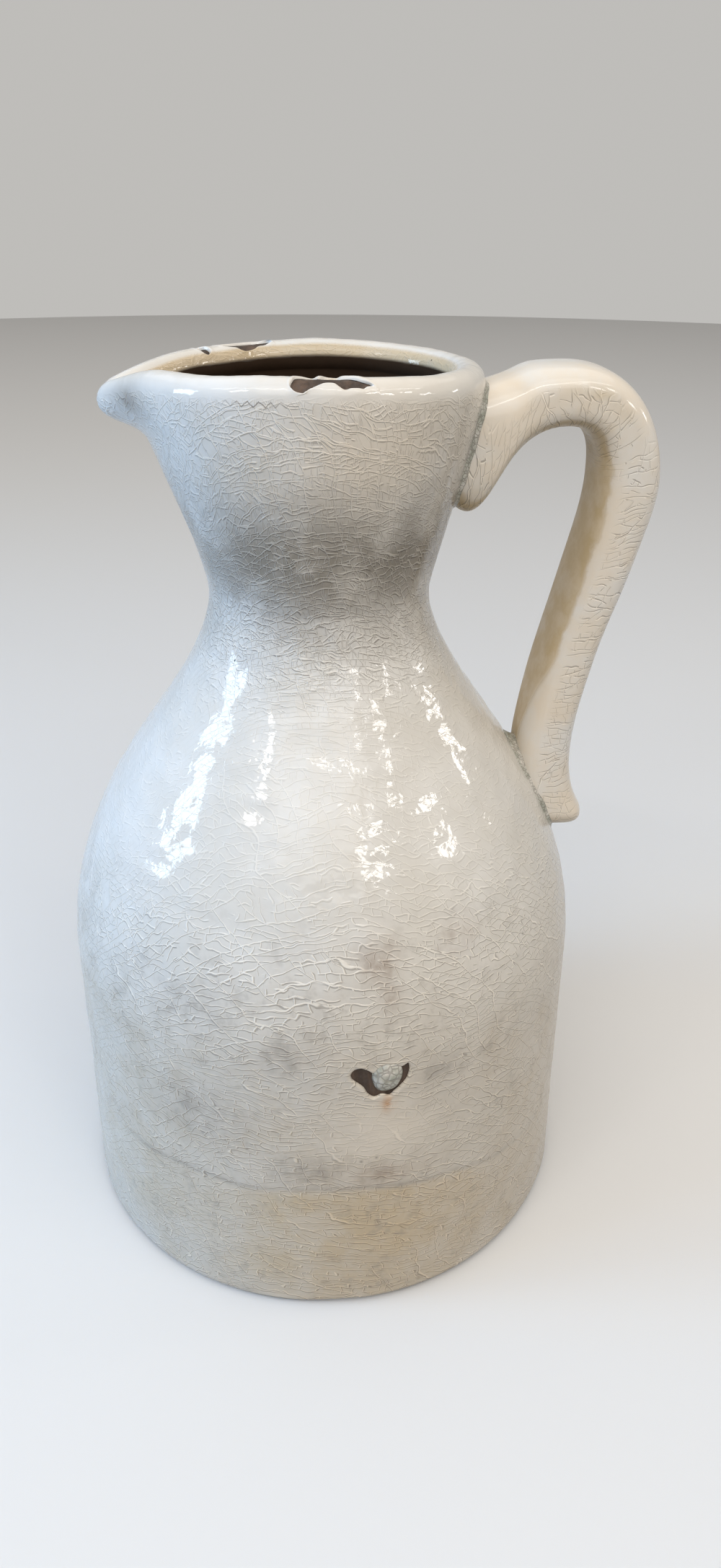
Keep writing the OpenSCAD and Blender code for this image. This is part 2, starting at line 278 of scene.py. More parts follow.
def pinch_share(z, direction):
    """How far the front and the back are pinched in."""
    return smooth((z - WAIST_Z) / (ROLL_Z - WAIST_Z)) * np.sin(np.radians(direction)) ** 4


def collar(r, z, direction):
    """Points of the jug from a radius and a height on its round section."""
    share, press = lip_share(z), pinch_share(z, direction)
    r = r + share * lip_pull(direction) - press * PINCH
    z = z - share * lip_fall(direction) + press * PINCH_RISE
    a = np.radians(direction)
    return np.stack([r * np.cos(a), r * np.sin(a), z], 1)


def surface(direction, s, lift):
    """Points that stand off the clay by a height."""
    r, z, nr, nz = WALL.at(s)
    return collar(r + lift * nr, z + lift * nz, direction)


def swell(direction, s, seed, size, count=28):
    """Soft bumps of a size all over the wall, about 1 high, made of waves that close round the jug."""
    rng = np.random.default_rng(seed)
    most = int(2 * pi * BELLY_SKIN_R / size)
    turns = rng.integers(-most, most + 1, count)
    rises = rng.uniform(-1, 1, count) * 2 * pi / size
    phases = rng.uniform(0, 2 * pi, count)
    total = sum(np.cos(t * np.radians(direction) + u * s + p) for t, u, p in zip(turns, rises, phases))
    return total / sqrt(count / 2)


# Meshes

def add(name, data):
    made = bpy.data.objects.new(name, data)
    bpy.context.scene.collection.objects.link(made)
    return made


def piece(name, points, faces, material, nodes, attributes=None, normals=None):
    """A smooth mesh that rides on the jug and stands for some nodes of the frame."""
    mesh = bpy.data.meshes.new(name)
    mesh.from_pydata((np.asarray(points) * MM).tolist(), [], [list(map(int, f)) for f in faces])
    mesh.polygons.foreach_set("use_smooth", [True] * len(mesh.polygons))
    for key, values in (attributes or {}).items():
        made = mesh.attributes.new(key, "FLOAT_VECTOR", "POINT")
        made.data.foreach_set("vector", np.asarray(values, np.float32).ravel())
    if normals is not None:
        mesh.normals_split_custom_set_from_vertices(np.asarray(normals).tolist())
    mesh.materials.append(material)
    made = add(name, mesh)
    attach(made, "root")
    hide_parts(*nodes)


def quad_normals(points, quads):
    """Smooth normals of the points of some quads."""
    a, b, c, d = (points[quads[:, k]] for k in range(4))
    cross = np.cross(c - a, d - b)
    total = np.zeros_like(points)
    for k in range(4):
        np.add.at(total, quads[:, k], cross)
    return total / np.maximum(np.linalg.norm(total, axis=1), 1e-9)[:, None]


def open_edges(quads):
    """Edges with a face on one side only, as pairs of points."""
    sides = np.concatenate([quads[:, [k, (k + 1) % 4]] for k in range(4)])
    big = int(quads.max()) + 1
    forward = sides[:, 0] * big + sides[:, 1]
    back = sides[:, 1] * big + sides[:, 0]
    return sides[~np.isin(forward, back)]


def grid_frame(i0, i1, j0, j1):
    """Columns and rows of the grid round a rectangle, anticlockwise from the middle of its right side."""
    around = [(i, j0) for i in range(i0, i1)] + [(i1, j) for j in range(j0, j1)]
    around += [(i, j1) for i in range(i1, i0, -1)] + [(i0, j) for j in range(j1, j0, -1)]
    first = (i1 - i0) + (j1 - j0) // 2
    return around[first:] + around[:first]


FAR_FROM_EDGE = 99.0
HOLE_STEPS = 10
HOLE_STEP_POWER = 1.8


class Skin:
    """Quads laid out by direction and distance along the wall, with holes, that become a coat of glaze."""

    def __init__(self, directions, stations, free_start, free_end):
        self.directions, self.stations = directions, stations
        u, s = (grid.ravel() for grid in np.meshgrid(directions, stations))
        self.u, self.s = [u], [s]
        start = s - stations[0] if free_start else FAR_FROM_EDGE
        end = stations[-1] - s if free_end else FAR_FROM_EDGE
        self.edge = [np.minimum(start, end)]
        self.size = u.size
        self.kept = np.ones((len(stations) - 1, len(directions)), bool)
        self.rings = []

    def hole(self, angle, station, radius, outline, margin):
        """Cuts a hole whose outline is given along and across the wall, and rounds the glaze down to it."""
        low, high = outline.min(0) - margin, outline.max(0) + margin
        a = np.radians(self.directions - angle) * radius
        b = self.stations - station
        i0, i1 = np.searchsorted(a, low[0]) - 1, np.searchsorted(a, high[0])
        j0, j1 = np.searchsorted(b, low[1]) - 1, np.searchsorted(b, high[1])
        self.kept[j0:j1, i0:i1] = False
        around_ij = grid_frame(i0, i1, j0, j1)
        around = np.array([(a[i], b[j]) for i, j in around_ij])
        far = distances(back_to_start(around))
        ring = back_to_start(outline)
        inner = points_at(ring, far[:-1] / far[-1] * distances(ring)[-1])
        rows = []
        for k in range(HOLE_STEPS):
            spot = inner + (around - inner) * (k / HOLE_STEPS) ** HOLE_STEP_POWER
            self.u.append(angle + np.degrees(spot[:, 0] / radius))
            self.s.append(station + spot[:, 1])
            self.edge.append(np.linalg.norm(spot - inner, axis=1))
            rows.append(self.size + np.arange(len(spot)))
            self.size += len(spot)
        rows.append(np.array([j * len(self.directions) + i for i, j in around_ij]))
        for near, next_row in zip(rows, rows[1:]):
            self.rings.append(np.stack([near, next_row, np.roll(next_row, -1), np.roll(near, -1)], 1))

    def quads(self):
        rows, columns = self.kept.shape
        j, i = np.nonzero(self.kept)
        n = (i + 1) % columns
        low, high = j * columns, (j + 1) * columns
        grid = np.stack([low + i, low + n, high + n, high + i], 1)
        return np.concatenate([grid] + self.rings)

    def coat(self, thickness):
        """A closed coat whose thickness depends on the place: points, faces, normals and attributes."""
        u, s, edge = (np.concatenate(q) for q in (self.u, self.s, self.edge))
        quads = self.quads()
        used, index = np.unique(quads, return_inverse=True)
        quads = index.reshape(quads.shape)
        u, s, edge = u[used], s[used], edge[used]
        lift = np.minimum(SEAT_GAP + EDGE_LEAST + thickness(u, s) * edge_roll(edge), GLAZE_MOST)
        outer, inner = surface(u, s, lift), surface(u, s, np.full(len(u), SEAT_GAP))
        n = len(u)
        rim = open_edges(quads)
        sides = np.stack([rim[:, 1], rim[:, 0], rim[:, 0] + n, rim[:, 1] + n], 1)
        normals = quad_normals(outer, quads)
        waist = np.abs(s - WAIST_S) < 1e-6
        turn = np.radians(u[waist])
        normals[waist] = np.stack([np.cos(turn), np.sin(turn), 0 * turn], 1)
        places = np.stack([s - WALL.top_s, above_ridge(u, s), ridge_share(u)], 1)
        faces = np.concatenate([quads, quads[:, ::-1] + n, sides])
        return (np.vstack([outer, inner]), faces, np.vstack([normals, -normals]),
                {"wall": np.vstack([places, places])})


def edge_roll(d):
    """Share of the glaze's thickness at a distance from its free edge: it beads up, then rounds down."""
    x = np.clip(d / EDGE_W, 0, 1)
    bead = EDGE_BEAD_SHARE * np.exp(-((d - EDGE_BEAD_AT) / EDGE_BEAD_W) ** 2)
    return np.sqrt(np.maximum(1 - (1 - x) ** 2, 0)) * (1 + bead)


def columns(count, *fine):
    """Directions all round, with more of them in some ranges, each as (from, to, count)."""
    parts = [np.linspace(0, 360, count, endpoint=False)]
    for low, high, number in fine:
        parts = [p[(p < low) | (p > high)] for p in parts]
        parts.append(np.linspace(low, high, number))
    return np.sort(np.concatenate(parts))


def stations(*parts):
    """Distances along the wall, each part as (from, to, step)."""
    made = [np.linspace(a, b, max(2, int((b - a) / step)), endpoint=False) for a, b, step in parts]
    return np.concatenate(made + [[parts[-1][1]]])


# Thickness of the glaze

RIDGE_TURNS = (200.0, 230.0, 247.0, 262.0, 276.0, 290.0, 302.0, 311.0, 325.0, 350.0)
RIDGE_Z = (55.0, 57.0, 59.0, 60.5, 60.5, 59.0, 55.5, 52.0, 49.0, 47.0)
RIDGE_H = 0.22
RIDGE_W = 1.1
RIDGE_FROM = 215
RIDGE_FADE_IN = 20
RIDGE_TO = 335
RIDGE_FADE_OUT = 25
RUN_H = 0.14
RING_H = 0.10
RING_GAP = 11.5


def throwing_rings(u, s):
    """Uneven throwing rings round the wall, about 1 high, which rise and fade as they go round."""
    drift = 0.9 * swell(u, s, 6, 90, 12)
    fade = 0.55 + 0.45 * np.tanh(1.4 * swell(u, s, 7, 34, 24))
    return np.cos(2 * pi * s / RING_GAP + drift * 2.2) * fade


def above_ridge(u, s):
    """Height above the ridge where the glaze has run down the front and stopped."""
    ridge = np.interp(u, RIDGE_TURNS, RIDGE_Z) + 0.6 * swell(u, 0 * s, 5, 30, 8)
    return WALL.at(s)[1] - ridge


def ridge_share(u):
    """The ridge fades out to both sides of the front."""
    return smooth((u - RIDGE_FROM) / RIDGE_FADE_IN) * smooth((RIDGE_TO - u) / RIDGE_FADE_OUT)


def body_thickness(u, s):
    """Soft bumps and throwing rings, and the thicker glaze above the ridge where it has run down."""
    above = above_ridge(u, s)
    low = smooth((150 - WALL.at(s)[1]) / 60)
    ridge = RIDGE_H * np.exp(-(above / RIDGE_W) ** 2) * ridge_share(u)
    run = RUN_H * smooth(above / 3) * smooth((24 - above) / 20) * ridge_share(u)
    rings = RING_H * throwing_rings(u, s) * (1 - 0.6 * low)
    bumps = 0.10 * swell(u, s, 1, 55) + 0.05 * swell(u, s, 2, 15, 40) + rings
    return COAT_T + bumps * smooth((WAIST_S - s) / 6) + ridge + run


def collar_thickness(u, s):
    """Soft bumps, which fade out towards the waist so that both coats meet there."""
    bumps = 0.12 * swell(u, s, 3, 40) + 0.03 * swell(u, s, 4, 12, 40)
    return COAT_T + bumps * smooth((s - WAIST_S) / 6)


# Outlines of the bare spots, anticlockwise from the right-hand end, along and across the wall

SPOT_POINTS = 220
RIM_SPOT_POINTS = 200


def spot_outline():
    """Bare patch round the drop of glaze: a lobe to the left, a thin arm to the right, the drop's seat."""
    points = [(7.6, 1.4), (7.2, 3.9), (6.0, 4.6), (4.6, 3.2), (2.6, 4.2), (0, 4.8), (-2.8, 4.2), (-4.6, 2.4),
              (-6.2, 3.7), (-8.2, 5.0), (-10.6, 4.8), (-12.0, 3.0), (-11.6, 0.8), (-9.6, -1.2), (-7.8, -3.2),
              (-6.4, -6.0), (-4.2, -7.7), (-1.8, -7.0), (0.9, -7.9), (2.6, -6.5), (5.0, -4.4), (6.9, -1.9)]
    return closed_curve(points, SPOT_POINTS)


def on_roll(points, middle_turn):
    """Outline on the rolled rim, from lengths along it and angles round its section."""
    spots = [(a, ROLL_R * radians(turn - middle_turn)) for a, turn in points]
    return closed_curve(spots, RIM_SPOT_POINTS)


def rim_spot_outline():
    """Two bare lobes on the front of the rim, joined by a narrow stretch along its top."""
    points = [(11.9, 50), (10.4, 45), (9.5, 37), (8.2, 39), (6.4, 38), (5.5, 34), (4.6, 34), (3.5, 44),
              (2.4, 54), (0.2, 54), (-1.4, 46), (-2.5, 39), (-3.4, 33), (-3.8, 22), (-6.0, 20), (-7.4, 24),
              (-8.3, 32), (-8.6, 45), (-8.3, 64), (-7.7, 90), (-5.2, 112), (-3.4, 124), (-1.6, 108),
              (0.6, 122), (3.6, 126), (5.0, 110), (7.3, 94), (9.5, 70)]
    return on_roll(points[::-1], RIM_SPOT_TURN)


def strip_outline():
    """Long thin bare strip along the top of the rim's back."""
    points = [(8.8, 92), (5.5, 80), (0, 70), (-5, 68), (-9, 76), (-9.8, 94), (-7.4, 116), (-4.6, 122),
              (-2.6, 134), (0.4, 140), (2.2, 132), (3.6, 118), (6.6, 112)]
    return on_roll(points[::-1], STRIP_TURN)


def notch_outline():
    """Small chip in the top of the rim, beside the strip."""
    points = [(1.8, 96), (1.5, 74), (0, 64), (-1.7, 74), (-2.0, 96), (-1.4, 124), (0.2, 136), (1.4, 122)]
    return on_roll(points[::-1], STRIP_TURN)


# Shader helpers

LINE_RANDOMNESS = 0.9
GLAZE_IOR = 1.5
GLAZE_DEPTH = 0.4
GRIT_DEPTH = 0.5


class Value:
    """A number that nodes work out at each point of a surface, which can be added and multiplied."""

    def __init__(self, sh, socket):
        self.sh = sh
        self.socket = socket

    def __add__(self, other):
        return self.sh.math("ADD", self, other)

    __radd__ = __add__

    def __sub__(self, other):
        return self.sh.math("SUBTRACT", self, other)

    def __rsub__(self, other):
        return self.sh.math("SUBTRACT", other, self)

    def __mul__(self, other):
        return self.sh.math("MULTIPLY", self, other)

    def ramp(self, low, high, start=0.0, stop=1.0):
        """Smooth step from one number to another."""
        values = {"Value": self, "From Min": low, "From Max": high, "To Min": start, "To Max": stop}
        return self.sh.value("MapRange", "Result", values, interpolation_type="SMOOTHSTEP")

    def hump(self, middle, width):
        """1 at a middle, falling off softly to both sides."""
        off = self.sh.math("DIVIDE", self - middle, width)
        return self.sh.math("EXPONENT", off * off * -1.0)


class Shader:
    """Nodes of a material or the world. Their inputs are values, sockets, plain numbers or colours."""

    def __init__(self, owner, colour=None):
        owner.use_nodes = True
        self.owner = owner
        self.tree = owner.node_tree
        self.colour = colour

    def put(self, socket, value):
        if isinstance(value, Value):
            value = value.socket
        if isinstance(value, bpy.types.NodeSocket):
            self.tree.links.new(value, socket)
        else:
            socket.default_value = value

    def node(self, kind, values=(), **settings):
        made = self.tree.nodes.new("ShaderNode" + kind)
        for key, value in settings.items():
            setattr(made, key, value)
        for key, value in dict(values).items():
            self.put(made.inputs[key], value)
        return made

    def value(self, kind, output, values, **settings):
        return Value(self, self.node(kind, values, **settings).outputs[output])

    def math(self, operation, a, b=0.0):
        return self.value("Math", 0, {0: a, 1: b}, operation=operation)

    def split(self, vector):
        made = self.node("SeparateXYZ", {0: vector})
        return [Value(self, made.outputs[k]) for k in range(3)]

    def attribute(self, name):
        return self.split(self.node("Attribute", attribute_name=name).outputs["Vector"])

    def noise(self, vector, size, detail=2.0, rough=0.5, shift=0.0):
        if shift:
            vector = self.node("VectorMath", {0: vector, 1: (shift * size,) * 3}, operation="ADD").outputs[0]
        values = {"Vector": vector, "Scale": 1 / size, "Detail": detail, "Roughness": rough}
        return self.value("TexNoise", 0, values, noise_dimensions="3D")

    def cells(self, feature, output, values, spacing, dimensions="3D"):
        """Irregular cells of about a spacing."""
        values = dict(values, Scale=1 / spacing)
        return self.value("TexVoronoi", output, values, voronoi_dimensions=dimensions, feature=feature)

    def lines(self, value, gap):
        """Distance to the nearest of some irregular lines of a value."""
        values = {"W": value, "Randomness": LINE_RANDOMNESS}
        return self.cells("DISTANCE_TO_EDGE", "Distance", values, gap, "1D") * gap

    def bands(self, value, gap):
        """Random number for each band between the lines."""
        values = {"W": value, "Randomness": LINE_RANDOMNESS}
        return self.split(self.cells("F1", "Color", values, gap, "1D"))[0]

    def seen(self):
        """1 for rays of the camera, of gloss and through glass, and 0 for those that only carry light."""
        rays = self.node("LightPath").outputs
        mirrored = self.math("MAXIMUM", rays["Is Glossy Ray"], rays["Is Transmission Ray"])
        return self.math("MAXIMUM", rays["Is Camera Ray"], mirrored)

    def tint(self, colour, share, blend="MIX"):
        """Lays a share of another colour over the surface's colour."""
        values = {0: share, 6: self.colour, 7: colour}
        self.colour = self.node("Mix", values, data_type="RGBA", blend_type=blend).outputs[2]

    def bump(self, relief, strength, depth):
        """Normals of a surface that stands up by a relief times a depth."""
        values = {"Height": relief, "Strength": strength, "Distance": depth * MM}
        return self.node("Bump", values).outputs[0]

    def finish(self, **values):
        """Gives a material's surface its colour and its other values."""
        surface = self.tree.nodes["Principled BSDF"]
        self.put(surface.inputs["Base Color"], self.colour)
        for key, value in values.items():
            self.put(surface.inputs[key], value)
        return self.owner


def rgb(red, green, blue):
    return (red, green, blue, 1.0)


CREAM = rgb(0.67, 0.63, 0.565)
WHITE = rgb(0.75, 0.72, 0.67)
BEIGE = rgb(0.56, 0.475, 0.36)
PEACH = rgb(0.76, 0.665, 0.54)
GREY = rgb(0.19, 0.165, 0.125)
# Grey-brown smudge, also used for the painted shadows under the lip and under the drip ridge
SMUDGE_AND_PAINTED_SHADOW = rgb(0.30, 0.265, 0.225)
TAN = rgb(0.57, 0.45, 0.29)
# Tan stain, also laid on the handle as a painted shadow under its crown
STAIN_AND_PAINTED_SHADOW = rgb(0.56, 0.44, 0.265)
BROWN = rgb(0.26, 0.17, 0.11)
# Multipliers for the painted highlight on each raised crackle line and for the painted shadow beside it
LINE_PAINTED_HIGHLIGHT = rgb(1.27, 1.26, 1.24)
LINE_PAINTED_SHADOW = rgb(0.50, 0.48, 0.46)
DARK_LINE = rgb(0.20, 0.17, 0.14)
RUST = rgb(0.50, 0.24, 0.08)
GREENISH = rgb(0.36, 0.365, 0.30)
CLAY = rgb(0.040, 0.025, 0.016)
CLAY_PALE = rgb(0.15, 0.095, 0.065)
PINHOLE = rgb(0.02, 0.015, 0.012)

# Crackle: gaps between lines on wall and handle, a line's half width, the long lines' gaps in short ones
WALL_CRACKLE_GAP = 2.4
HANDLE_CRACKLE_GAP = 2.8
LINE_W = 0.2
RISE_GAPS = 1.7
FALL_GAPS = 3.2

# Radius of the pinholes
PINHOLE_R = 0.5


def crackle(sh, place, up, along, arch, gap, dense):
    """Raised crackle in the glaze: long arcs both ways, rungs that end on them, and short bits between.

    Up and along are lengths on the surface, and arch bends the long lines. Where dense is 1, finer bits
    are added. Returns how near a line is, and how near the painted shadow of the raised line is, which
    lies beside it on the side away from the light."""
    bent = sh.noise(place, 24.0, 0.0, shift=5.1) - 0.5
    wide = sh.noise(place, 62.0, 0.0) - 0.5 + bent * 0.35
    wavy = sh.noise(place, 6.0, 1.0, shift=3.7) - 0.5
    whole = sh.noise(place, 15.0, 1.0, shift=11.7)
    broken = sh.noise(place, 6.0, 1.0, shift=7.3)
    rise = up + arch + wide * 30.0 + wavy * 2.6
    fall = up * 0.66 + along * 0.74 - wide * 38.0 - wavy * 2.6
    first = sh.bands(rise, gap * RISE_GAPS)
    second = sh.bands(fall, gap * FALL_GAPS)
    cell = first * 57.0 + second * 83.0
    tilt = (first - 0.45) * along * -0.55
    level = up + cell + tilt + wide * 16.0 + wavy * 3.6
    third = sh.bands(level, gap)
    lean = (second - 0.5) * up * 0.9
    rung = along + cell + third * 97.0 + lean - wavy * 4.5
    chosen = sh.math("FRACT", third * 7.13).ramp(0.42, 0.46)
    bits = sh.noise(place, 3.4, 1.0, shift=15.1)
    fine = bits.ramp(0.54, 0.48) * dense
    other = bits.ramp(0.47, 0.53) * dense
    # Each field: its value, the gap between its lines, the side towards which its painted shadow moves, and
    # where its lines show
    fields = ((rise, gap * RISE_GAPS, 0.8, whole.ramp(0.36, 0.44)),
              (fall, gap * FALL_GAPS, 0.7, whole.ramp(0.58, 0.50)),
              (level, gap, 1.0, broken.ramp(0.40, 0.46)),
              (rung, gap * 1.4, -0.7, chosen * broken.ramp(0.66, 0.58)),
              (level, gap * 1.3, 1.0, fine),
              (rung, gap * 1.6, -0.7, other),
              (rise, gap * 1.6, 0.8, other),
              (fall, gap * 2.0, 0.7, fine))

    def near(shift):
        total = 0.0
        for value, spacing, slope, on in fields:
            edge = sh.lines(value + shift * slope, spacing)
            total = sh.math("MAXIMUM", edge.ramp(LINE_W * 0.35, LINE_W, 1.0, 0.0) * on, total)
        return total

    line = near(0.0)
    # The painted shadow is the same lines moved a little towards the side away from the light, where a
    # raised line would cast shade
    return line, near(LINE_W * 1.4) * (1 - line)


def tint_pinholes(sh, place, spacing):
    """Sparse black pinholes in the glaze."""
    near = sh.cells("F1", "Distance", {"Vector": place}, spacing)
    sh.tint(PINHOLE, near.ramp(PINHOLE_R / spacing * 0.6, PINHOLE_R / spacing, 1.0, 0.0))


def millimetres(sh):
    """Place of a point of the jug in millimetres."""
    values = {0: sh.node("TexCoord").outputs["Object"], "Scale": 1 / MM}
    return sh.node("VectorMath", values, operation="SCALE").outputs[0]


def towards(direction, angle, wide, radius=BELLY_SKIN_R):
    """1 at an angle, falling off softly over a length to both sides."""
    turn = radians(angle if angle <= 180 else angle - 360)
    return (direction * radius).hump(turn * radius, wide)


# Patches on the wall, each by its height, direction and half sizes
CLEAN_PATCH = (84, 284, 14, 19)
# Painted warm light on the front of the neck and on the rim right of the front
NECK_PAINTED_WARM_LIGHT = (292, 284, 14, 46)
RIM_PAINTED_WARM_LIGHT = (308, 288, 14, 42)
RUST_SPOT = (95.5, 284.8, 3.2, 2.2)
# Painted shadow under the lip's rolled edge
LIP_PAINTED_SHADOW = (303.5, 196, 5.0, 11)

# Dirt on the front of the belly: tint, share and patches
DIRT = ((SMUDGE_AND_PAINTED_SHADOW, 0.6, ((131, 243, 9, 13), (116, 264, 8, 12), (100, 296, 10, 9), (68, 268, 6, 16),
                       (86, 246, 12, 16))),
        (BROWN, 0.55, ((149, 283.5, 9, 7), (138, 286, 7, 4), (149, 303, 6, 7), (64, 284, 4, 14))),
        (PINHOLE, 0.95, ((71, 279.4, 0.6, 0.6), (72, 282.6, 0.5, 0.5), (139, 321, 0.6, 0.6))))

# Zigzag crack below the rim: radius at which it is laid out, height, direction and half length
ZIGZAG_R = 46.0
ZIGZAG_Z = 308.3
ZIGZAG_ANGLE = 251
ZIGZAG_W = 9.0


class WallShader(Shader):
    """Nodes of the wall's glaze, with values for where a point lies and how it is mottled there."""

    def __init__(self, owner, colour):
        super().__init__(owner, colour)
        self.place = millimetres(self)
        x, y, self.z = self.split(self.place)
        self.direction = self.math("ARCTAN2", y, x)
        # Past is the distance along the wall beyond the rim's top, and above is the height above the ridge
        past, self.above, self.ridge = self.attribute("wall")
        top = self.z.ramp(280, 290)
        self.inside = past.ramp(2.4, 3.8) * top
        self.deep = past.ramp(5.6, 6.8) * top
        self.rim = past.ramp(-9.0, -6.0) * top * (1 - self.inside)
        self.off_rim = 1 - self.rim
        self.waist = self.z.hump(256, 25)
        self.low = self.z.ramp(180, 125)
        # 1 at the front, falling off to the sides: the neck's tints fade with it, which paints the neck's
        #                                           sides lighter, as if lit
        self.front_share_sides_painted_lit = towards(self.direction, 282, 85)
        self.blotch = self.noise(self.place, 46.0, 4.0, 0.6)
        self.streak = self.noise(self.place, 17.0, 5.0, 0.65, shift=2.0)
        self.smear = self.noise(self.place, 4.5, 3.0, 0.6, shift=9.0)
        self.clean = self.patch(CLEAN_PATCH)

    def patch(self, spot):
        z, angle, high, wide = spot
        return self.z.hump(z, high) * towards(self.direction, angle, wide)


def wall_crackle(sh):
    """Lines of the wall's crackle, their painted shadows, and how strong both are."""
    up = sh.z - sh.z.ramp(266, 306, 0.0, 6.0)
    bow = sh.math("COSINE", sh.direction + radians(85))
    arch = bow * sh.z.ramp(190, 245, -ARCH_H, -0.5 * ARCH_H)
    dense = sh.z.hump(270, 40).ramp(0.0, 0.5)
    line, shade = crackle(sh, sh.place, up, sh.direction * CRACKLE_R, arch, WALL_CRACKLE_GAP, dense)
    strength = sh.math("MINIMUM", sh.z.ramp(205, 240) + sh.low + 0.3, 1.0)
    strength = strength * sh.off_rim * (1 - sh.clean * 0.75) * (1 - sh.inside * 0.6) * (1 - sh.deep)
    return line, shade, strength


def tint_neck(sh):
    """Warm beige front of the neck with painted warm light on it, a streaky darker haze and a dark grey band
    round the waist; the beige and the band fade towards the sides, which paints the neck's sides lighter, as
    if lit.
    """
    warm = sh.blotch.ramp(0.3, 0.65, 0.42, 0.08) * sh.front_share_sides_painted_lit.ramp(0.1, 0.8, 0.1, 1.0)
    sh.tint(BEIGE, sh.z.ramp(236, 262) * sh.off_rim * warm)
    # Painted warm light on the front of the neck
    sh.tint(PEACH, sh.patch(NECK_PAINTED_WARM_LIGHT) * sh.off_rim * 0.75)
    sh.tint(SMUDGE_AND_PAINTED_SHADOW, sh.waist * sh.streak.ramp(0.3, 0.65, 0.15, 0.5))
    # Dark grey band round the waist, fading towards the sides
    dark_band = sh.streak.ramp(0.3, 0.62, 0.36, 0.95) * sh.blotch.ramp(0.25, 0.6, 0.8, 1.0)
    sh.tint(GREY, sh.z.hump(261, 17) * dark_band * sh.front_share_sides_painted_lit.ramp(0.1, 0.8, 0.6, 1.0))


def tint_belly(sh):
    """Grime on the belly, a darker beige towards the foot, the tan base below the ridge, a painted shadow
    just under the ridge, and flecks.
    """
    dirty = 1 - sh.clean
    grime = sh.streak.ramp(0.42, 0.68) * sh.blotch.ramp(0.38, 0.62)
    sh.tint(SMUDGE_AND_PAINTED_SHADOW, sh.low * sh.z.ramp(40, 75) * grime * dirty * 0.35)
    # Darker beige towards the foot
    dusk = sh.blotch.ramp(0.3, 0.7, 0.5, 0.95) * sh.streak.ramp(0.25, 0.7, 0.65, 1.0)
    sh.tint(BEIGE, sh.z.ramp(165, 85) * (1 - sh.clean * 0.7) * dusk)
    front = towards(sh.direction, 280, 46).ramp(0.05, 0.9, 0.2, 1.0)
    base = sh.above.ramp(0.0, -5.0) * sh.streak.ramp(0.3, 0.65, 0.35, 0.9)
    sh.tint(TAN, base * front * sh.z.ramp(4, 30, 0.55, 1.0))
    # Painted shadow just under the drip ridge
    below = sh.above.hump(-1.5, 1.3) * sh.ridge
    sh.tint(SMUDGE_AND_PAINTED_SHADOW, below * sh.streak.ramp(0.3, 0.6, 0.3, 1.0) * 0.45)
    flecks = sh.smear.ramp(0.5, 0.66) * sh.streak.ramp(0.4, 0.6)
    sh.tint(SMUDGE_AND_PAINTED_SHADOW, sh.math("MAXIMUM", sh.low, sh.waist) * flecks * dirty * 0.3)


def tint_patches(sh):
    """Patches of dirt, rust and clean glaze, a painted shadow under the lip, painted warm light on the rim,
    and the tan inside of the rim.
    """
    mottle = sh.streak.ramp(0.32, 0.62, 0.35, 1.0) * sh.smear.ramp(0.3, 0.6, 0.4, 1.0)
    for tint, share, spots in DIRT:
        sh.tint(tint, sum(sh.patch(spot) for spot in spots) * mottle * share)
    sh.tint(PEACH, sh.clean * 0.6)
    sh.tint(RUST, sh.patch(RUST_SPOT) * sh.noise(sh.place, 3.0).ramp(0.3, 0.6) * 0.75)
    # Painted shadow under the lip's rolled edge
    sh.tint(SMUDGE_AND_PAINTED_SHADOW, sh.patch(LIP_PAINTED_SHADOW) * sh.streak.ramp(0.3, 0.6, 0.6, 1.0) * 0.9)
    # Painted warm light on the rim
    sh.tint(PEACH, sh.patch(RIM_PAINTED_WARM_LIGHT) * 0.45)
    sh.tint(TAN, sh.inside * sh.streak.ramp(0.3, 0.62, 0.85, 1.0))


def tint_lines(sh, line, shade, strength):
    """Crackle lines with a painted highlight on them and a painted shadow beside them, and the zigzag crack.
    """
    dark = sh.z.ramp(190, 240, 0.7, 1.0) * sh.z.ramp(264, 282, 1.0, 0.65)
    # Painted shadow beside each raised line, then a painted highlight on the line
    sh.tint(LINE_PAINTED_SHADOW, shade * strength * dark, "MULTIPLY")
    sh.tint(LINE_PAINTED_HIGHLIGHT, line * strength * sh.z.ramp(190, 240, 1.0, 0.75), "MULTIPLY")
    # The lines' painted highlight is made paler still over the waist's dark band
    sh.tint(CREAM, line * strength * sh.waist * 0.4)
    teeth = sh.math("PINGPONG", sh.direction * ZIGZAG_R + sh.streak * 5.0, 1.5)
    zigzag = sh.math("ABSOLUTE", sh.z + teeth - ZIGZAG_Z).ramp(0.12, 0.3, 1.0, 0.0)
    sh.tint(DARK_LINE, zigzag * towards(sh.direction, ZIGZAG_ANGLE, ZIGZAG_W, ZIGZAG_R) * 0.8)


def wall_glaze():
    """Off-white glaze of the wall: grime, and crackle with painted highlights and shadows, low down and at
    the waist; glossy shoulder, white rim.
    """
    sh = WallShader(bpy.data.materials.new("wall_glaze"), CREAM)
    line, shade, strength = wall_crackle(sh)
    sh.tint(WHITE, sh.blotch.ramp(0.35, 0.7))
    tint_neck(sh)
    tint_belly(sh)
    tint_patches(sh)
    tint_lines(sh, line, shade, strength)
    sh.tint(CLAY, sh.deep)
    tint_pinholes(sh, sh.place, 34.0)
    rough = sh.streak.ramp(0.3, 0.75, 0.03, 0.08) + sh.low * 0.16 + sh.waist * 0.14
    relief = (line * strength * 0.3 + sh.noise(sh.place, 9.0, 1.0) * sh.rim.ramp(0.0, 1.0, 1.2, 0.5)
              + sh.noise(sh.place, 2.6, 1.0, shift=4.0) * 0.3)
    return sh.finish(Roughness=rough, Normal=sh.bump(relief, 0.9, GLAZE_DEPTH), IOR=GLAZE_IOR)


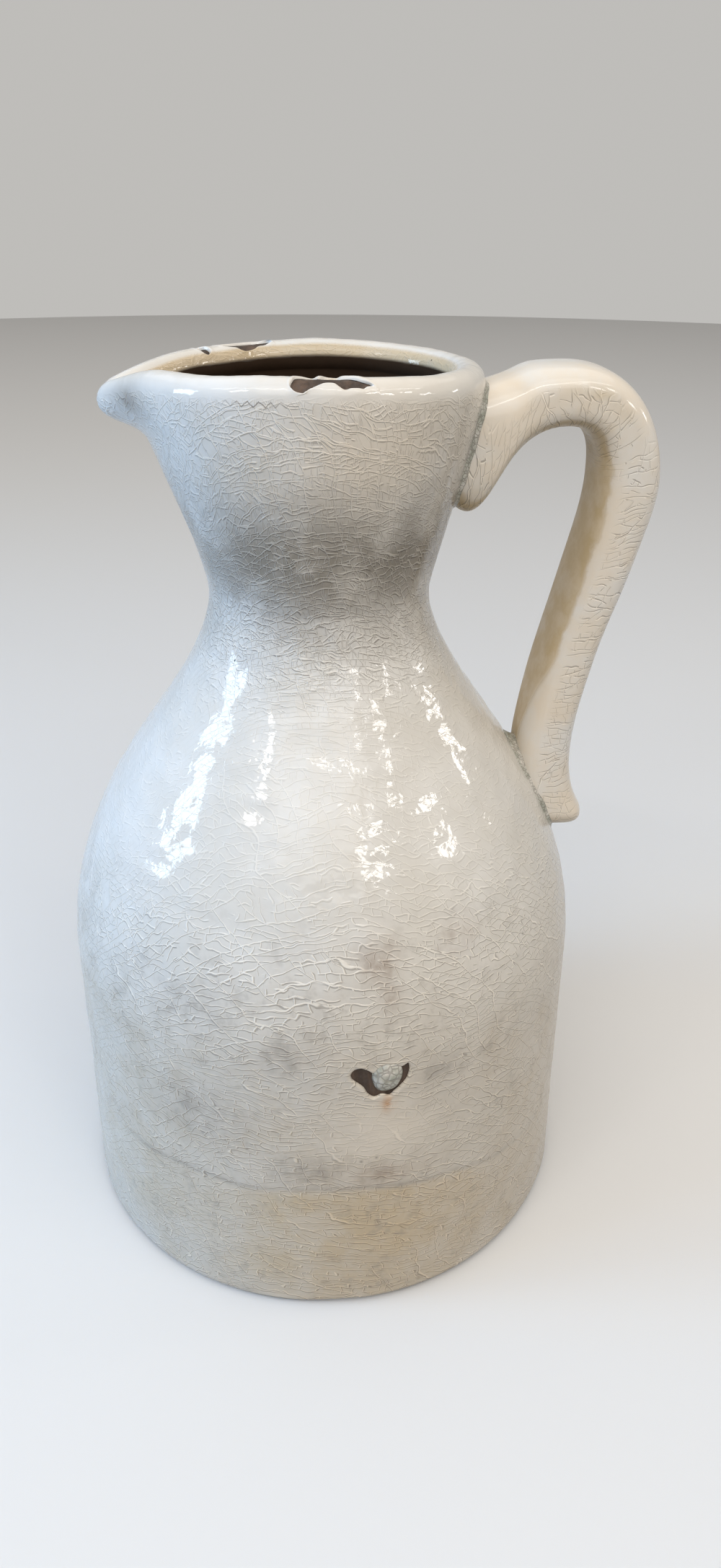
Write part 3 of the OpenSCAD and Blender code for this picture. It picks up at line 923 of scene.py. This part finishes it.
def handle_glaze():
    """Warm cream glaze of the handle: ladder crackle with painted highlights and shadows towards its outer
    side, tan stain on its inner face, and a painted shadow under the crown.
    """
    sh = Shader(bpy.data.materials.new("handle_glaze"), PEACH)
    place = millimetres(sh)
    across, out, along = sh.attribute("strap")
    line, shade = crackle(sh, place, along, out * 11.0, out * 3.0, HANDLE_CRACKLE_GAP, 0.0)
    blotch = sh.noise(place, 26.0, 4.0, 0.6)
    streak = sh.noise(place, 9.0, 4.0, 0.65, shift=2.0)
    crown = along.ramp(82, 62)
    ladder = (1 - crown) * out.ramp(-0.5, -0.15) * out.ramp(0.9, 0.65)
    strength = (crown * out.ramp(0.55, 0.1) + ladder) * blotch.ramp(0.35, 0.6, 0.55, 1.0)
    sh.tint(WHITE, blotch.ramp(0.35, 0.7))
    ragged = out + (streak - 0.5) * 0.5
    near_side = (across - along.ramp(120, 190) * 1.1).ramp(-1.25, -1.0)
    inner = ragged.ramp(-0.62, -0.78) * near_side
    sh.tint(STAIN_AND_PAINTED_SHADOW, inner * streak.ramp(0.3, 0.65, 0.6, 1.0))
    spot = along.hump(50, 9) * out.hump(0.3, 0.22)
    # Painted shadow on the inner side under the crown, in the stain's colour
    shadow = crown * out.hump(-0.75, 0.5) * 0.5
    sh.tint(STAIN_AND_PAINTED_SHADOW, (spot + shadow) * streak.ramp(0.35, 0.62, 0.2, 1.0) * 0.5)
    # Painted shadow beside each raised crackle line, then a painted highlight on the line
    sh.tint(LINE_PAINTED_SHADOW, shade * strength * 0.9, "MULTIPLY")
    sh.tint(LINE_PAINTED_HIGHLIGHT, line * strength * 0.7, "MULTIPLY")
    tint_pinholes(sh, place, 26.0)
    rough = streak.ramp(0.3, 0.75, 0.07, 0.16) + inner * 0.3
    relief = line * strength * 0.45 + sh.noise(place, 9.0, 1.0) * 0.2 + inner * streak * 0.8
    return sh.finish(Roughness=rough, Normal=sh.bump(relief, 0.7, GLAZE_DEPTH), IOR=GLAZE_IOR)


def pooled_glaze(name, cell):
    """Thick grey-green glaze with fine crackle, pooled in creases and in the drop."""
    sh = Shader(bpy.data.materials.new(name), GREENISH)
    place = millimetres(sh)
    line = sh.cells("DISTANCE_TO_EDGE", "Distance", {"Vector": place}, cell).ramp(0.02, 0.14, 1.0, 0.0)
    blotch = sh.noise(place, 5.0, 3.0, 0.6)
    sh.tint(CREAM, blotch.ramp(0.35, 0.68))
    sh.tint(DARK_LINE, line * 0.5)
    rough = blotch.ramp(0.3, 0.7, 0.12, 0.3)
    relief = blotch - line * 0.5
    return sh.finish(Roughness=rough, Normal=sh.bump(relief, 0.7, GLAZE_DEPTH), IOR=GLAZE_IOR)


def bare_clay():
    """Dark brown fired clay with fine grit and smudges that run down the wall."""
    sh = Shader(bpy.data.materials.new("bare_clay"), CLAY)
    place = millimetres(sh)
    grit = sh.noise(place, 1.4, 4.0, 0.7)
    tall = sh.node("VectorMath", {0: place, 1: (1.0, 1.0, 0.18)}, operation="MULTIPLY").outputs[0]
    smudge = sh.noise(tall, 7.0, 4.0, 0.65, shift=1.0)
    sh.tint(CLAY_PALE, smudge.ramp(0.4, 0.7) * grit.ramp(0.3, 0.7, 0.5, 1.0))
    rough = grit.ramp(0.3, 0.7, 0.55, 0.85)
    return sh.finish(Roughness=rough, Normal=sh.bump(grit + smudge * 0.8, 0.5, GRIT_DEPTH))


# Glaze of the body and the collar

SPOT_R = float(WALL.radius(BEAD_Z)) + GLAZE_T
SPOT_ANGLE = 270 + degrees(asin(BEAD_X / SPOT_R))
SPOT_S = WALL.station(BEAD_Z)
FRONT_RIM_R = ROLL_MIDDLE_R - PINCH
BACK_RIM_R = ROLL_MIDDLE_R - PINCH * float(pinch_share(np.array(ROLL_Z), np.array(STRIP_ANGLE)))
RIM_SPOT_S = ROLL_S + ROLL_R * radians(RIM_SPOT_TURN)
STRIP_S = ROLL_S + ROLL_R * radians(STRIP_TURN)


def make_coat(name, skin, thickness, material, node):
    points, faces, normals, attributes = skin.coat(thickness)
    piece(name, points, faces, material, [node], attributes, normals)


def make_body_glaze(material):
    """Glaze of the body. Its rows and columns lie closer at the foot and round the bare spot."""
    low, high = SPOT_S - 12, SPOT_S + 9
    rows = stations((0, 4, 0.4), (4, low, 2.2), (low, high, 0.75), (high, WAIST_S, 1.5))
    around = columns(250, (SPOT_ANGLE - 10, SPOT_ANGLE + 7.5, 44))
    skin = Skin(around, rows, free_start=True, free_end=False)
    skin.hole(SPOT_ANGLE, SPOT_S, SPOT_R, spot_outline(), margin=2.5)
    make_coat("body_glaze_coat", skin, body_thickness, material, "body_glaze")


def make_collar_glaze(material):
    """Glaze of the collar. Its rows and columns lie closer on the rim and round its bare spots."""
    low, high = ROLL_S - 6, WALL.top_s + 5
    rows = stations((WAIST_S, low, 1.3), (low, high, 0.42), (high, END_S, 0.8))
    around = columns(230, (110, 160, 70), (255, 296, 66))
    skin = Skin(around, rows, free_start=False, free_end=True)
    skin.hole(RIM_SPOT_ANGLE, RIM_SPOT_S, FRONT_RIM_R, rim_spot_outline(), margin=1.2)
    skin.hole(STRIP_ANGLE, STRIP_S, BACK_RIM_R, strip_outline(), margin=1.0)
    skin.hole(NOTCH_ANGLE, STRIP_S, ROLL_MIDDLE_R, notch_outline(), margin=1.0)
    make_coat("collar_glaze_coat", skin, collar_thickness, material, "neck_glaze")


INSIDE_STEP = 1.5
INSIDE_RING_H = 0.25


def make_collar_clay(clay):
    """Clay of the collar, with faint rings from the wheel inside."""
    r, z = WALL.at(stations((WAIST_S, ROLL_S, 2.0), (ROLL_S, END_S, 0.9)))[:2]
    low_z = np.arange(z[-1] - INSIDE_STEP, WAIST_Z, -INSIDE_STEP)
    rings = INSIDE_RING_H * np.sin(low_z * 1.1) * smooth((low_z - WAIST_Z) / 8)
    r = np.concatenate([r, WALL.radius(low_z) - WALL_T + rings, [WAIST_R - WALL_T]])
    z = np.concatenate([z, low_z, [WAIST_Z]])
    around = np.linspace(0, 360, 180, endpoint=False)
    count = len(around)
    points = collar(np.repeat(r, count), np.repeat(z, count), np.tile(around, len(r)))
    piece("collar_clay", points, tube_faces(len(r), count, closed=True), clay, ["neck"])


def tube_faces(rows, count, closed=False):
    """Quads between rows of points that each close on themselves."""
    i, j = np.meshgrid(np.arange(rows if closed else rows - 1), np.arange(count), indexing="ij")
    n, k = (j + 1) % count, (i + 1) % rows
    return np.stack([i * count + j, i * count + n, k * count + n, k * count + j], -1).reshape(-1, 4)


def capped_faces(rows, count):
    """Faces of a tube whose first and last row close in two more points, which follow the rows."""
    sides = [tuple(quad) for quad in tube_faces(rows, count)[:, ::-1]]
    total, last = rows * count, (rows - 1) * count
    start = [(total, j, (j + 1) % count) for j in range(count)]
    end = [(total + 1, last + (j + 1) % count, last + j) for j in range(count)]
    return sides + start + end


# Handle

ROOT_SINK = 4.0
TAIL_END_SHARE = 0.12
SECTION_POINTS = 88
CROWN_STEPS = 26
ELBOW_STEPS = 30
GRIP_STEPS = 70
TAIL_STEPS = 14
INNER_TURN_SHARE = 0.5
ROOT_DEPTH = 3.0
LUMP_H = 0.07
LUMP_SIZE = 26
LUMP_WAVES = 18
LUMP_SEED = 11
NEARLY_A_TURN = 6.28


def strap_edge(root, root_side, crown, crown_pull, elbow, tail, bend, turn_share):
    """One edge of the strap: out of the root, over the crown, round the elbow and down the grip."""
    return np.vstack([
        [root - (ROOT_SINK, 0), root - (ROOT_SINK / 2, 0), root],
        bezier([root, root_side, crown - (crown_pull, 0), crown], CROWN_STEPS),
        bezier([crown, crown + (turn_share * CROWN_PULL, 0), elbow + (0, turn_share * ELBOW_UP_PULL), elbow],
               ELBOW_STEPS),
        bezier([elbow, elbow - (0, ELBOW_DOWN_PULL), tail + bend, tail], GRIP_STEPS)])


def strap_edges():
    """The strap's outer and inner edges in its own plane, as [distance from axis, height]."""
    def slope(angle):
        return np.array([cos(radians(angle)), sin(radians(angle))])

    top_z = RIM_Z - ROOT_DROP
    top = np.array([WALL.radius(top_z), top_z])
    low = np.array([WALL.radius(top_z - ROOT_H), top_z - ROOT_H])
    crown = np.array([CROWN_REACH, RIM_Z + CROWN_RISE])
    elbow = np.array([ELBOW_REACH, RIM_Z - ELBOW_DROP])
    tail = np.array([WALL.radius(TAIL_Z), TAIL_Z])
    outer = strap_edge(top, top + ROOT_PULL * slope(ROOT_RISE), crown, ROOT_PULL, elbow,
                       tail + (TAIL_STAND, 0), np.array([-TAIL_BEND, TAIL_PULL]), 1)
    inner = strap_edge(low, low + UNDER_PULL * slope(UNDER_SLOPE), crown - (0, CROWN_T), CROWN_PULL,
                       elbow - (STRAP_T, 0), tail - (TAIL_PRESS, 0), np.array([-TAIL_BEND / 2, TAIL_PULL]),
                       INNER_TURN_SHARE)
    return outer, inner


def strap_points(lift):
    """Rings of points round the strap, and for each point its place across, out and along the strap."""
    outer, inner = (np.vstack([edge, np.repeat(edge[-1:], TAIL_STEPS, 0)]) for edge in strap_edges())
    rings = len(outer)
    past = np.clip(np.arange(rings) - (rings - 1 - TAIL_STEPS), 0, None) * pi / 2 / TAIL_STEPS
    share = TAIL_END_SHARE + (1 - TAIL_END_SHARE) * np.cos(past)
    tail_way = np.array([TAIL_BEND, -TAIL_PULL]) / hypot(TAIL_BEND, TAIL_PULL)
    span = outer - inner
    thick = np.linalg.norm(span, axis=1)
    out = span / thick[:, None]
    middle = (outer + inner) / 2 + (TAIL_ROUND + lift) * np.sin(past)[:, None] * tail_way
    along = distances(middle)
    a = np.linspace(0, 2 * pi, SECTION_POINTS, endpoint=False)
    side, face = (np.sign(q) * np.abs(q) ** (2 / STRAP_SQUARE) for q in (np.cos(a), np.sin(a)))
    n = len(a)
    lumps = strap_lumps(np.repeat(along, n), np.tile(a, rings)).reshape(rings, n)
    half_w = (STRAP_W / 2 * share + lift)[:, None] + lumps
    half_t = (thick / 2 * share + lift)[:, None] + lumps
    flat = middle[:, None, :] + (half_t * face)[:, :, None] * out[:, None, :]
    points = np.stack([flat[..., 0], half_w * side, flat[..., 1]], -1).reshape(-1, 3)
    places = np.stack([np.tile(side, rings), np.tile(face, rings), np.repeat(along, n)], 1)
    return turned(points, HANDLE_TURN), places, rings


def turned(points, angle):
    """Points turned round the jug's axis."""
    a = radians(angle)
    turn = np.array([[cos(a), sin(a), 0], [-sin(a), cos(a), 0], [0, 0, 1]])
    return points @ turn


def strap_lumps(along, turn):
    """Unevenness of a strap that was pulled and smoothed by hand."""
    rng = np.random.default_rng(LUMP_SEED)
    total = 0
    for _ in range(LUMP_WAVES):
        waves = rng.integers(-3, 4)
        rise = rng.uniform(-1, 1) * 2 * pi / LUMP_SIZE
        phase = rng.uniform(0, NEARLY_A_TURN)
        total = total + np.cos(waves * turn + rise * along + phase)
    return LUMP_H * total / sqrt(LUMP_WAVES / 2)


def depth_in_wall(points, lift=0.0):
    """How deep points lie inside the jug's round wall."""
    return WALL.radius(points[:, 2]) + lift - np.hypot(points[:, 0], points[:, 1])


def press_onto_wall(points, most):
    """Moves points that lie deeper in the wall than that back out."""
    excess = np.maximum(0, depth_in_wall(points) - most)
    r = np.hypot(points[:, 0], points[:, 1])
    grown = (r + excess) / np.maximum(r, 1e-6)
    return np.column_stack([points[:, 0] * grown, points[:, 1] * grown, points[:, 2]])


def make_handle():
    """Glaze of the handle. Returns its points, and its quads without the ends."""
    points, places, rings = strap_points(GLAZE_T)
    points = press_onto_wall(points, ROOT_DEPTH)
    n = SECTION_POINTS
    ends, end_places = ([rows[:n].mean(0), rows[-n:].mean(0)] for rows in (points, places))
    piece("handle_glaze_coat", np.vstack([points, ends]), capped_faces(rings, n), handle_glaze(),
          ["handle_glaze"], {"strap": np.vstack([places, end_places])})
    return points, tube_faces(rings, n)[:, ::-1]


# Pooled glaze in the creases of the handle's joints

def level_loops(points, quads, values):
    """Closed lines on a mesh where some values pass through zero."""
    triangles = np.concatenate([quads[:, [0, 1, 2]], quads[:, [0, 2, 3]]])
    steps = {}
    spots = {}
    for tri in triangles[(values[triangles] > 0).any(1) & (values[triangles] <= 0).any(1)]:
        ends = []
        for a, b in ((tri[0], tri[1]), (tri[1], tri[2]), (tri[2], tri[0])):
            if (values[a] > 0) != (values[b] > 0):
                key = (min(a, b), max(a, b))
                t = values[a] / (values[a] - values[b])
                spots[key] = points[a] + t * (points[b] - points[a])
                ends.append((key, values[a] > 0))
        first, second = (e[0] for e in sorted(ends, key=lambda e: e[1]))
        steps[first] = second
    loops = []
    while steps:
        start, key = next(iter(steps.items()))
        del steps[start]
        loop = [start]
        while key in steps:
            loop.append(key)
            key = steps.pop(key)
        loops.append(np.array([spots[k] for k in loop]))
    return loops


def wall_normal(points):
    """Directions out of the round wall at some points."""
    z = points[:, 2]
    slope = WALL.radius(z + 0.5) - WALL.radius(z - 0.5)
    a = np.arctan2(points[:, 1], points[:, 0])
    return unit(np.stack([np.cos(a), np.sin(a), -slope], 1))


POOL_W = 1.7
POOL_RISE = 9.0
POOL_STEP = 0.8
POOL_STEPS = 7
POOL_WAVES = (2, 3, 5, 7, 11)
POOL_HOLLOW_SHARE = 0.28
POOL_SINK = 1.2
POOL_TOE = 0.8
POOL_EMBED = 0.1
POOL_LUMP_SHARE = 0.3
POOL_CRACKLE = 1.3


def make_pool(name, loop, material, node, seed, fill):
    """Glaze that has run into the crease between a root of the handle and the wall."""
    crease = even(back_to_start(loop), POOL_STEP)[:-1]
    count = len(crease)
    s = np.arange(count) / count * 2 * pi
    rng = np.random.default_rng(seed)
    waves = (np.cos(k * s + rng.uniform(0, NEARLY_A_TURN)) * rng.uniform(0.3, 1) for k in POOL_WAVES)
    lumps = sum(waves) / (len(POOL_WAVES) / 2)
    near_top = smooth((crease[:, 2] - crease[:, 2].max()) / POOL_RISE + 1)
    width = POOL_W * (1 + POOL_LUMP_SHARE * lumps) * (1 + fill * near_top)
    up = wall_normal(crease)
    away = unit(np.cross(unit(np.roll(crease, -1, 0) - np.roll(crease, 1, 0)), up))
    if ((crease - crease.mean(0)) * away).sum() < 0:
        away = -away
    rows = []
    for t in np.arange(POOL_STEPS + 1) / POOL_STEPS:
        hollow = 2 * t * (1 - t) * POOL_HOLLOW_SHARE
        reach = width * ((1 - t) ** 2 + hollow)
        rise = width * (t ** 2 + hollow) - POOL_EMBED
        rows.append(crease + away * reach[:, None] + up * rise[:, None])
    rows.append(crease - away * POOL_SINK + up * (width * 0.5)[:, None])
    rows.append(crease - away * POOL_TOE - up * POOL_SINK)
    piece(name, np.vstack(rows), tube_faces(len(rows), count, closed=True), material, [node])


# Drop of glaze in the bare spot

BEAD_RINGS = 16
BEAD_POINTS = 64
BEAD_WIDTH_SHARE = 0.9
BEAD_FOOT_H = 0.03
BEAD_CRACKLE = 2.2


def make_bead():
    """Uneven drop of glaze, drawn up to the upper edge of its bare spot."""
    turn = np.linspace(0, 2 * pi, BEAD_POINTS, endpoint=False)
    upper = smooth((np.sin(turn) - 0.1) / 0.7)
    reach = BEAD_R * (0.93 + 0.03 * np.sin(3 * turn + 1) + 0.02 * np.sin(5 * turn)) * (1 + 0.06 * upper)

    def ring(q, height):
        across = q * reach * np.cos(turn) * BEAD_WIDTH_SHARE
        return surface(SPOT_ANGLE + np.degrees(across / SPOT_R), SPOT_S + q * reach * np.sin(turn), height)

    def middle(height):
        return surface(np.array([SPOT_ANGLE]), np.array([SPOT_S]), np.array([height]))

    rows = []
    for q in np.sin(np.linspace(0, pi / 2, BEAD_RINGS))[1:]:
        dome = BEAD_H * sqrt(max(0, 1 - q ** 2.6)) * (1 + 0.06 * np.sin(2 * turn + q * 3))
        rows.append(ring(q, np.maximum(dome, 0.05 + 0.9 * upper * q * q)))
    rows.append(ring(1, np.full(BEAD_POINTS, BEAD_FOOT_H)))
    points = np.vstack(rows + [middle(BEAD_H), middle(BEAD_FOOT_H)])
    piece("glaze_drop", points, capped_faces(len(rows), BEAD_POINTS),
          pooled_glaze("drop_glaze", BEAD_CRACKLE), ["glaze_bead"])


# Stage: the camera's place is in millimetres, floor and lamps are in metres

CAMERA_AT = (14.35, -362.52, 363.03)
CAMERA_PITCH = 28.625
CAMERA_ROLL = 0.398
CAMERA_LENS = 25.627
SENSOR_W = 36.0
CLIP_START = 0.01
FLOOR_RINGS = (0.3, 0.8, 1.8, 3.2)
FLOOR_POINTS = 96
FLOOR_Z = -0.0002
FLOOR_COLOUR = rgb(0.74, 0.73, 0.715)
FLOOR_SPECK = rgb(0.7, 0.7, 0.7)
FLOOR_BOUNCE = rgb(0.24, 0.235, 0.23)


def floor_material():
    """Pale to look at, but darker for the light that it throws back onto the jug."""
    sh = Shader(bpy.data.materials.new("floor"), FLOOR_COLOUR)
    speck = sh.noise(sh.node("TexCoord").outputs["Object"], 0.35, 3.0)
    sh.tint(FLOOR_SPECK, speck.ramp(0.3, 0.7, 0.0, 0.06))
    sh.tint(FLOOR_BOUNCE, 1 - sh.seen())
    return sh.finish(Roughness=0.85)


def make_floor():
    n = FLOOR_POINTS
    turn = np.linspace(0, 2 * pi, n, endpoint=False)
    points = [(0, 0, FLOOR_Z)]
    points += [(r * cos(a), r * sin(a), FLOOR_Z) for r in FLOOR_RINGS for a in turn]
    faces = [(0, 1 + j, 1 + (j + 1) % n) for j in range(n)]
    faces += [tuple(int(k) + 1 for k in quad) for quad in tube_faces(len(FLOOR_RINGS), n)]
    mesh = bpy.data.meshes.new("floor")
    mesh.from_pydata(points, [], faces)
    mesh.materials.append(floor_material())
    floor = add("floor", mesh)


def make_camera():
    data = bpy.data.cameras.new("camera")
    data.sensor_width = SENSOR_W
    data.lens = CAMERA_LENS
    data.clip_start = CLIP_START
    camera = add("camera", data)
    pitch = Matrix.Rotation(radians(90 - CAMERA_PITCH), 4, "X")
    roll = Matrix.Rotation(radians(CAMERA_ROLL), 4, "Z")
    camera.matrix_world = Matrix.Translation([c * MM for c in CAMERA_AT]) @ (pitch @ roll)
    bpy.context.scene.camera = camera


def softbox(name, place, target, size, power, colour):
    """A rectangular soft light that faces a point."""
    data = bpy.data.lights.new(name, "AREA")
    data.shape = "RECTANGLE"
    data.size, data.size_y = size
    data.energy = power
    data.color = colour
    light = add(name, data)
    way = Vector(place) - Vector(target)
    light.matrix_world = Matrix.Translation(place) @ way.to_track_quat("Z", "Y").to_matrix().to_4x4()
    return light


JUG_MIDDLE = Vector((0.0, 0.0, 0.18))
LAMP_FAR = 1.6


def lamp_at(name, azimuth, elevation, size, power, colour):
    """A soft light that faces the jug from a direction, at the same distance as the others."""
    a, e = radians(azimuth), radians(elevation)
    way = Vector((cos(e) * cos(a), cos(e) * sin(a), sin(e)))
    return softbox(name, JUG_MIDDLE + LAMP_FAR * way, JUG_MIDDLE, size, power, colour)


WARM = (1.0, 0.97, 0.93)
SKY = (0.62, 0.82, 1.0)
COOL = (0.10, 0.45, 1.0)

# Ceiling light: name, place, point that it faces, size, power and colour
CEILING = ("ceiling", (-0.5, -0.6, 3.0), (-0.5, -0.599, 0), (6.0, 7.0), 88, WARM)

# Lamps round the jug: name, direction, elevation, size, power and colour
LAMPS = (("key", 272, 48, (1.4, 1.4), 8.5, WARM), ("strip_left", 250, 52, (2.4, 0.05), 4.0, WARM),
         ("strip_right", 322, 50, (1.0, 0.05), 1.3, WARM), ("window", 188, 19, (0.34, 0.5), 5.6, SKY))
COOL_LAMP = ("cool_side", 190, 12, (1.0, 0.7), 3.5, COOL)
COOL_SPREAD = 80
SMALL_LAMPS = ((230, 37), (321, 35), (303, 28), (336, 22), (10, 18))
SMALL_LAMP = ((0.22, 0.14), 1.1, WARM)


def make_lights():
    softbox(*CEILING)
    for lamp in LAMPS:
        lamp_at(*lamp)
    cool_side = lamp_at(*COOL_LAMP)
    cool_side.visible_glossy = False
    cool_side.data.spread = radians(COOL_SPREAD)
    for k, (azimuth, elevation) in enumerate(SMALL_LAMPS):
        lamp_at("lamp_" + str(k), azimuth, elevation, *SMALL_LAMP)


WORLD_LIGHT = rgb(1.0, 0.98, 0.95)
WORLD_STRENGTH = 0.2
BACKDROP = rgb(0.52, 0.51, 0.49)


def make_world():
    """Weak light from all round, and a grey backdrop for the rays that see it."""
    world = bpy.data.worlds.new("world")
    bpy.context.scene.world = world
    sh = Shader(world)
    light = sh.tree.nodes["Background"]
    sh.put(light.inputs["Color"], WORLD_LIGHT)
    sh.put(light.inputs["Strength"], WORLD_STRENGTH)
    backdrop = sh.node("Background", {"Color": BACKDROP})
    mix = sh.node("MixShader", {0: sh.seen(), 1: light.outputs[0], 2: backdrop.outputs[0]})
    sh.put(sh.tree.nodes["World Output"].inputs["Surface"], mix.outputs[0])


LOOP_LEAST = 20


def main():
    clay = bare_clay()
    for node in ("body", "handle"):
        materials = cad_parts[node].data.materials
        materials.clear()
        materials.append(clay)
    glaze = wall_glaze()
    make_body_glaze(glaze)
    make_collar_glaze(glaze)
    make_collar_clay(clay)
    points, quads = make_handle()
    loops = level_loops(points, quads, depth_in_wall(points, GLAZE_T))
    loops = sorted((p for p in loops if len(p) > LOOP_LEAST), key=lambda p: p[:, 2].mean())
    pool = pooled_glaze("pooled_glaze", POOL_CRACKLE)
    make_pool("lower_joint_pool", loops[0], pool, "lower_joint_slip", seed=21, fill=2.6)
    make_pool("upper_joint_pool", loops[-1], pool, "upper_joint_slip", seed=22, fill=0.0)
    make_bead()
    make_floor()
    make_camera()
    make_lights()
    make_world()
    bpy.context.scene.view_settings.view_transform = "Standard"
    bpy.context.view_layer.update()


main()
